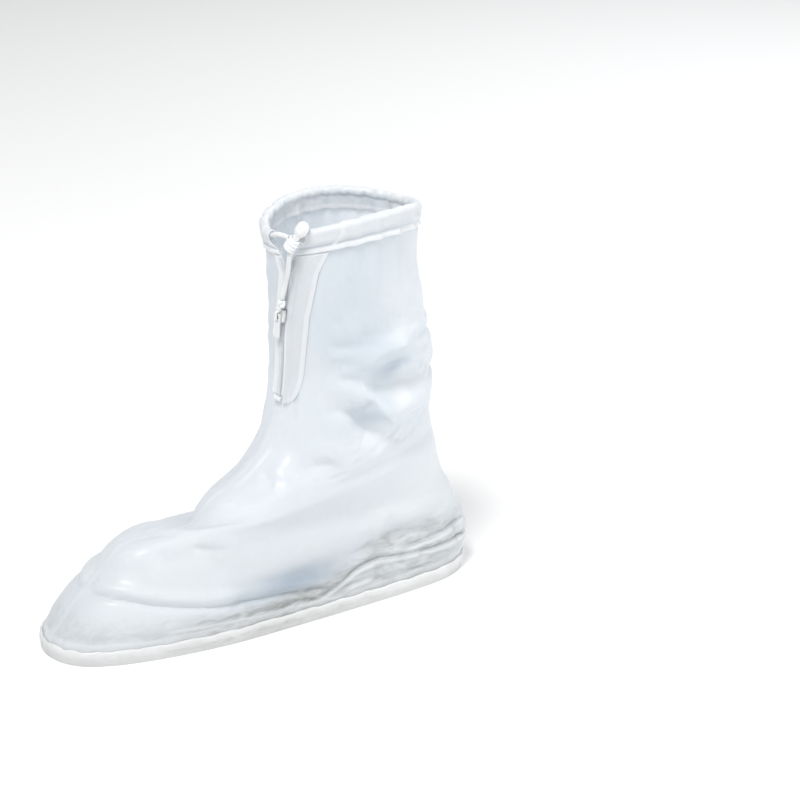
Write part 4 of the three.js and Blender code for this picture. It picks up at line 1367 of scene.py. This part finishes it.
def tube_mesh(name, line, radius, sides, material, braided=False):
    """A round tube along a line of points, smooth or braided."""
    if braided:
        angle, turn = full_turn(sides), 2 * math.pi * run_along(line)[:, None] / BRAID_PITCH
        one = np.abs(np.sin(BRAID_STRANDS / 2 * (angle + turn)))
        other = np.abs(np.sin(BRAID_STRANDS / 2 * (angle - turn)))
        radius = radius * (0.93 + 0.09 * np.maximum(one, other) ** 0.7)
    return ring_mesh(name, round_rings(line, *frames_along(line), radius, sides), material)


def closed_tube(name, line, radius, sides, material):
    """A round tube along a closed line of points."""
    ahead = unit(np.roll(line, -1, 0) - np.roll(line, 1, 0))
    across = unit(np.cross(ahead, line - line.mean(0)))
    rings = round_rings(line, across, np.cross(ahead, across), radius, sides)
    return ring_mesh(name, rings, material, closed=True)


def drawstring_piece(material):
    """The drawstring: out of the lock, round in the hem, and back to the lock."""
    share = np.linspace(0, 2, 57)
    level = np.full(share.shape, float(RIM_LEVEL))
    in_hem = film_point(film_turn(share, level), level, -FILM / 2, TUNNEL_RISE, gathered=False)
    line = curve_through(np.vstack([ROUTE_TO_INNER_END, in_hem, ROUTE_FROM_OUTER_END]), BRAID_STEP)
    return tube_mesh("drawstring_cord", line, CORD_RADIUS, BRAID_SIDES, material, braided=True)


def tail_pieces(material):
    """The drawstring's free end and its knot."""
    line = curve_through(TAIL_ROUTE, BRAID_STEP)
    tail = tube_mesh("drawstring_end", line, CORD_RADIUS, BRAID_SIDES, material, braided=True)
    turn = full_turn(120)
    knot_line = np.stack([
        0.62 * (np.sin(turn) + 2 * np.sin(2 * turn)),
        0.62 * (np.cos(turn) - 2 * np.cos(2 * turn)),
        3.35 - 1.5 * np.sin(3 * turn),
    ], -1) * MM + KNOT_PLACE
    knot = closed_tube("drawstring_knot_end", knot_line, KNOT_CORD_RADIUS, BRAID_SIDES, material)
    return tail, knot


# ---------------------------------------------------------------- zip

COIL_PITCH = 1.4 * MM
COIL_STEPS = 10
COIL_WIRE = 0.34 * MM
COIL_TOP_LEVEL = HEM_LEVEL - 0.1
COIL_MIDDLE = 1.05 * MM  # from the closure to the middle of a row of coil
COIL_HALF_WIDTH = 1.2 * MM
COIL_RISE = 0.62 * MM  # its middle over the tape
COIL_HALF_HEIGHT = 0.5 * MM
COIL_PARTING = 0.3 * MM  # how far each row moves over where the zip is open
TAPE_START = 0.15 * MM
TAPE_THICKNESS = 0.55 * MM


def zip_levels():
    """Levels up the closure at each step of the coil's wire."""
    level = np.linspace(ZIP_FOOT_LEVEL, COIL_TOP_LEVEL, 400)
    run = run_along(base_point(closure_middle(level), level))
    steps = int(run[-1] / COIL_PITCH * COIL_STEPS)
    return np.interp(np.linspace(0, run[-1], steps + 1), run, level)


def zip_coil(side, material):
    """One row of coil: a wire wound along the tape's edge, between the turns of the other row."""
    level = zip_levels()
    angle = 2 * math.pi * np.arange(len(level)) / COIL_STEPS + (math.pi if side < 0 else 0)
    apart = COIL_PARTING * smooth(SLIDER_LEVEL, SLIDER_LEVEL + 0.4, level)
    across = COIL_MIDDLE + COIL_HALF_WIDTH * np.cos(angle) + apart
    outward = LAYER_GAP + TAPE + COIL_RISE + COIL_HALF_HEIGHT * np.sin(angle)
    line = film_point(turn_beside(side, level, across), level, outward)
    return tube_mesh(sided("zip_coil", side), line, COIL_WIRE, 6, material)


def zip_tape(side, material):
    """One half's woven tape, with a corded edge under the coil."""
    across, height = share_grid(0, 1, 33, 181)
    level = ZIP_FOOT_LEVEL + (TAPE_TOP_LEVEL - ZIP_FOOT_LEVEL) * height
    place = TAPE_START + across * (TAPE_WIDTH - TAPE_START)
    turn = turn_beside(side, level, place)
    stitch = 0.12 * MM * hump(place, 3.1 * MM, 0.25 * MM) * np.sin(2 * math.pi * 45 * height)
    rib = 0.12 * MM * hump(place, TAPE_WIDTH - 0.7 * MM, 0.4 * MM)
    top = LAYER_GAP + TAPE_THICKNESS + rib + stitch
    return film_wall(sided("zip_tape", side), turn, level, top, LAYER_GAP, material)


def on_film(level):
    """A place on the closure, as a matrix: its x runs inwards, its y up the zip and its z out."""
    turn = closure_middle(level)
    _, outwards = directions(turn, level)
    above = base_point(closure_middle(level + 0.2), level + 0.2)
    below = base_point(closure_middle(level - 0.2), level - 0.2)
    across = unit(np.cross(above - below, outwards))
    matrix = np.eye(4)
    matrix[:3, 0], matrix[:3, 1], matrix[:3, 2] = across, np.cross(outwards, across), outwards
    matrix[:3, 3] = film_point(turn, level)
    return Matrix(matrix)


# The slider's, the pull's and the stop's sizes, in millimetres.
SLIDER_HALF = 4.5
SLIDER_TOP = 4.4
PULL_UP = 1.0
PULL_OUT = SLIDER_TOP + 1.2
PULL_HALF_WIDTH = 3.2
PULL_TOP = 0.6
PULL_POINTS = 96


def shrunk(section, share):
    """A section scaled towards its middle."""
    middle = section.mean(0)
    return middle + (section - middle) * share


def cross_bar(half, steps, y, z, section, material):
    """A small bar of a section in millimetres, from side to side on a moulded piece."""
    line = np.array([(x, y, z) for x in np.linspace(-half, half, steps)])
    return ring_mesh("bar", swept(line, (0, 1, 0), section) * MM, material)


def zip_slider(material):
    """The slider: a moulded channel over the coil, narrower at its foot, with a bridge."""
    section = closed_profile([
        (-4.7, 1.5), (-3.6, 1.5), (-3.6, 2.9), (3.6, 2.9), (3.6, 1.5), (4.7, 1.5),
        (4.7, 3.4), (3.7, SLIDER_TOP), (-3.7, SLIDER_TOP), (-4.7, 3.4),
    ], 0.45)
    rings = []
    for share in np.linspace(-1, 1, 21):
        width = 0.86 + 0.14 * smooth(-0.9, 0.3, share)
        inset = 0.93 if abs(share) == 1 else 0.985 if abs(share) > 0.89 else 1.0
        rings.append([(x * width, share * SLIDER_HALF, z) for x, z in shrunk(section, inset)])
    body = ring_mesh("slider_channel", np.array(rings) * MM, material, sharp_angle=40)
    arch = [(-2.95, 4.0), (-2.95, 6.9), (-2.2, 7.3), (2.2, 7.3), (2.95, 6.9), (2.95, 4.0)]
    line = np.array([(0, y, z) for y, z in rounded(arch, 0.9, 6)])
    bar = closed_profile([(-0.95, -0.4), (0.95, -0.4), (0.95, 0.4), (-0.95, 0.4)], 0.25, 3)
    bridge = ring_mesh("slider_bridge", swept(line, (1, 0, 0), bar) * MM, material, sharp_angle=40)
    bead = closed_profile([(-0.18, -0.2), (0.18, -0.2), (0.14, 0.14), (-0.14, 0.14)], 0.08, 2)
    ridges = [
        cross_bar(half, 9, y, SLIDER_TOP, bead, material)
        for y, half in ((-3.4, 2.6), (-2.6, 2.6), (2.9, 3.0), (3.6, 3.0))
    ]
    return placed(joined("slider_body", [body, bridge, *ridges]), on_film(SLIDER_LEVEL))


def pull_piece(material):
    """The pull: a moulded tab with an eye round the slider's bridge, a rim and grip ribs."""
    half, top = PULL_HALF_WIDTH, PULL_TOP
    foot = [
        (half * math.cos(angle), -15 - half * math.sin(angle))
        for angle in np.linspace(0.2, math.pi - 0.2, 14)
    ]
    outline = [(half - 0.6, top), (half, top - 0.6), (half - 0.5, -8), (half, -15), *foot]
    outline += [(-half, -15), (-half + 0.5, -8), (-half, top - 0.6), (-half + 0.6, top)]
    outline = evenly_closed(closed_profile(outline, 0.6, 3), PULL_POINTS)
    eye = closed_profile([(1.6, -0.6), (1.6, -5.5), (-1.6, -5.5), (-1.6, -0.6)], 0.6, 4)
    eye = evenly_closed(eye, PULL_POINTS)
    rings = []
    # shares of the way from the outline to the eye, and half the tab's thickness there
    for share, height in [
        (0.0, 0.25), (0.03, 0.5), (0.08, 0.6), (0.16, 0.6), (0.2, 0.38), (0.6, 0.36),
        (0.86, 0.38), (0.9, 0.56), (0.97, 0.56), (1.0, 0.4),
    ]:
        rings.append(np.column_stack([outline + (eye - outline) * share, np.full(PULL_POINTS, height)]))
    rings += [ring * (1, 1, -1) for ring in rings[::-1]]
    tab = ring_mesh("tab", np.array(rings) * MM, material, closed=True, sharp_angle=35)
    bead = closed_profile([(-0.35, -0.1), (0.35, -0.1), (0.22, 0.24), (-0.22, 0.24)], 0.12, 2)
    ribs = [
        cross_bar(1.7 if y > -15.5 else 1.1, 7, y, 0.34 * out, bead * (1, -out), material)
        for y in np.arange(-16.6, -9.5, 1.4) for out in (1, -1)
    ]
    matrix = on_film(SLIDER_LEVEL) @ Matrix.Translation((0, PULL_UP * MM, PULL_OUT * MM))
    return placed(joined("pull_tab", [tab, *ribs]), matrix)


def evenly_closed(line, count):
    """A closed outline's points at even spacing, from where it crosses the y axis on top."""
    line = np.vstack([line, line[:1]])
    run = run_along(line)
    at = np.linspace(0, run[-1], 4000, endpoint=False)
    fine = np.stack([np.interp(at, run, line[:, k]) for k in range(2)], -1)
    first = np.argmax(fine[:, 1] - 3 * np.abs(fine[:, 0]))
    fine = np.roll(fine, -first, 0)
    if fine[40, 0] < fine[0, 0]:
        fine = np.roll(fine[::-1], 1, 0)
    return fine[:: 4000 // count][:count]


def zip_stop(material):
    """The zip's lower stop: a rounded block over the coil's foot."""
    section = [(-3.5, 0.5), (3.5, 0.5), (3.5, 2.6), (2.9, 2.9), (-2.9, 2.9), (-3.5, 2.6)]
    section = closed_profile(section, 0.4)
    rings = []
    for share in np.linspace(-1, 1, 9):
        inset = 0.92 if abs(share) == 1 else 1.0
        rings.append([(x, -2.2 + 1.5 * share, z) for x, z in shrunk(section, inset)])
    stop = ring_mesh("stop_block", np.array(rings) * MM, material, sharp_angle=40)
    return placed(stop, on_film(ZIP_FOOT_LEVEL))


# ---------------------------------------------------------------- cord lock

LOCK_PLACE = (0.0242, 0.0088, 0.2658)
LOCK_AXIS = (0.38, 0.38, 0.84)
LOCK_OVAL = 0.85  # its depth as a share of its width
LOCK_LENGTH = 9.5  # millimetres, as the next three
LOCK_BORE_FLOOR = 3
LOCK_TRAVEL = 3.5
PADDLE_GAP = 0.3
LOCK_SIDES = 72
EYELET_RADIUS = 2.0 * MM
EYELET_WIRE = 0.42 * MM


def lock_matrix():
    """The cord lock's frame, with z along its barrel."""
    return Matrix.Translation(LOCK_PLACE) @ turn_from_z(LOCK_AXIS)


def turned(name, profile, material, radius=0.35):
    """A turned solid from [radius, height] pairs in millimetres, flattened to the lock's oval."""
    line = rounded([(0.02, profile[0][1]), *profile[1:-1], (0.02, profile[-1][1])], radius, 4)
    angle = full_turn(LOCK_SIDES)
    rings = [
        np.column_stack([r * np.cos(angle), LOCK_OVAL * r * np.sin(angle), np.full(LOCK_SIDES, z)])
        for r, z in line
    ]
    return ring_mesh(name, np.array(rings) * MM, material, sharp_angle=45)


def eyelet(place, ahead, material):
    """A raised ring where the cord goes into the lock."""
    angle = full_turn(40)
    line = EYELET_RADIUS * np.stack([np.cos(angle), np.sin(angle), np.zeros(40)], -1)
    ring = closed_tube("eyelet", line, EYELET_WIRE, 12, material)
    return placed(ring, Matrix.Translation(place) @ turn_from_z(ahead))


def lock_barrel(material):
    """The cord lock's body: a ribbed barrel with a bore, and an eyelet for each cord."""
    profile = [(0, 0), (3.6, 0), (4.7, 0.9), (4.8, 1.7)]
    for foot in (1.7, 4.2):
        profile += [(4.2, foot + 0.6), (5.0, foot + 1.2), (5.0, foot + 2.0), (4.3, foot + 2.5)]
    profile += [(4.6, LOCK_LENGTH - 0.6), (4.2, LOCK_LENGTH), (3.1, LOCK_LENGTH)]
    profile += [(3.1, LOCK_BORE_FLOOR), (0, LOCK_BORE_FLOOR)]
    barrel = placed(turned("barrel", profile, material), lock_matrix())
    holes = []
    for route, first, second in [
        (ROUTE_TO_INNER_END, 0, 1), (ROUTE_FROM_OUTER_END, -1, -2), (TAIL_ROUTE, 0, 1),
    ]:
        place, onward = np.array(route[first]), np.array(route[second])
        holes.append(eyelet(place, onward - place, material))
    return joined("lock_barrel", [barrel, *holes])


def lock_paddle(material):
    """The button: a stem in the bore under a rounded paddle with grip lines."""
    foot = LOCK_BORE_FLOOR + LOCK_TRAVEL + PADDLE_GAP
    seat = LOCK_LENGTH + LOCK_TRAVEL + PADDLE_GAP
    profile = [(0, foot), (2.7, foot), (2.7, seat), (3.6, seat), (4.3, seat + 2)]
    for line in range(3):
        up = seat + 2.6 + 1.3 * line
        profile += [(4.75, up), (4.55, up + 0.35), (4.85, up + 0.7)]
    profile += [(4.7, seat + 7.2), (3.7, seat + 9), (1.9, seat + 10), (0, seat + 10.2)]
    return placed(turned("lock_paddle", profile, material, 0.5), lock_matrix())


# ---------------------------------------------------------------- the object


def build():
    """Every piece that shows, on its body and in place of its CAD nodes."""
    film = film_material("frosted_film", FROSTED, 0.27)
    double = film_material("doubled_film", DOUBLED, 0.13)
    vinyl = sole_material()
    cord = cord_material()
    plastic = plastic_material("white_nylon", (0.82, 0.835, 0.85, 1), 0.34)
    coil = plastic_material("coil_nylon", (0.84, 0.87, 0.90, 1), 0.3)
    tape = tape_material()

    tail, knot = tail_pieces(cord)
    string = drawstring_piece(cord)
    for piece, node in ((tail, "drawstring_tail"), (knot, "drawstring_knot"), (string, "drawstring")):
        dress(piece, "boot", "cord", node)

    moves = settle_film()
    inner, outer = (film_panel(side, moves, film) for side in (1, -1))
    gusset, hem, placket = gusset_piece(film), hem_piece(double), placket_piece(double)
    for piece, slot, node in (
        (inner, "film", "film_panel_inner"),
        (outer, "film", "film_panel_outer"),
        (gusset, "film", "gusset"),
        (hem, "doubled_film", "hem"),
        (placket, "doubled_film", "placket"),
    ):
        dress(piece, "boot", slot, node)

    dress(joined("sole_vinyl_tray", [sole_body(vinyl), *tread_bars(vinyl)]), "boot", "sole", "sole")
    for side in (1, -1):
        dress(zip_tape(side, tape), "boot", "zip_tape", sided("zip_half", side))
        dress(zip_coil(side, coil), "boot", "plastic")
    for make, body, node in (
        (zip_slider, "boot", "zip_slider"),
        (zip_stop, "boot", "zip_stop"),
        (pull_piece, "pull", "zip_pull"),
        (lock_barrel, "boot", "cord_lock_body"),
        (lock_paddle, "button", "cord_lock_button"),
    ):
        dress(make(plastic), body, "plastic", node)


make_camera()
make_studio()
build()
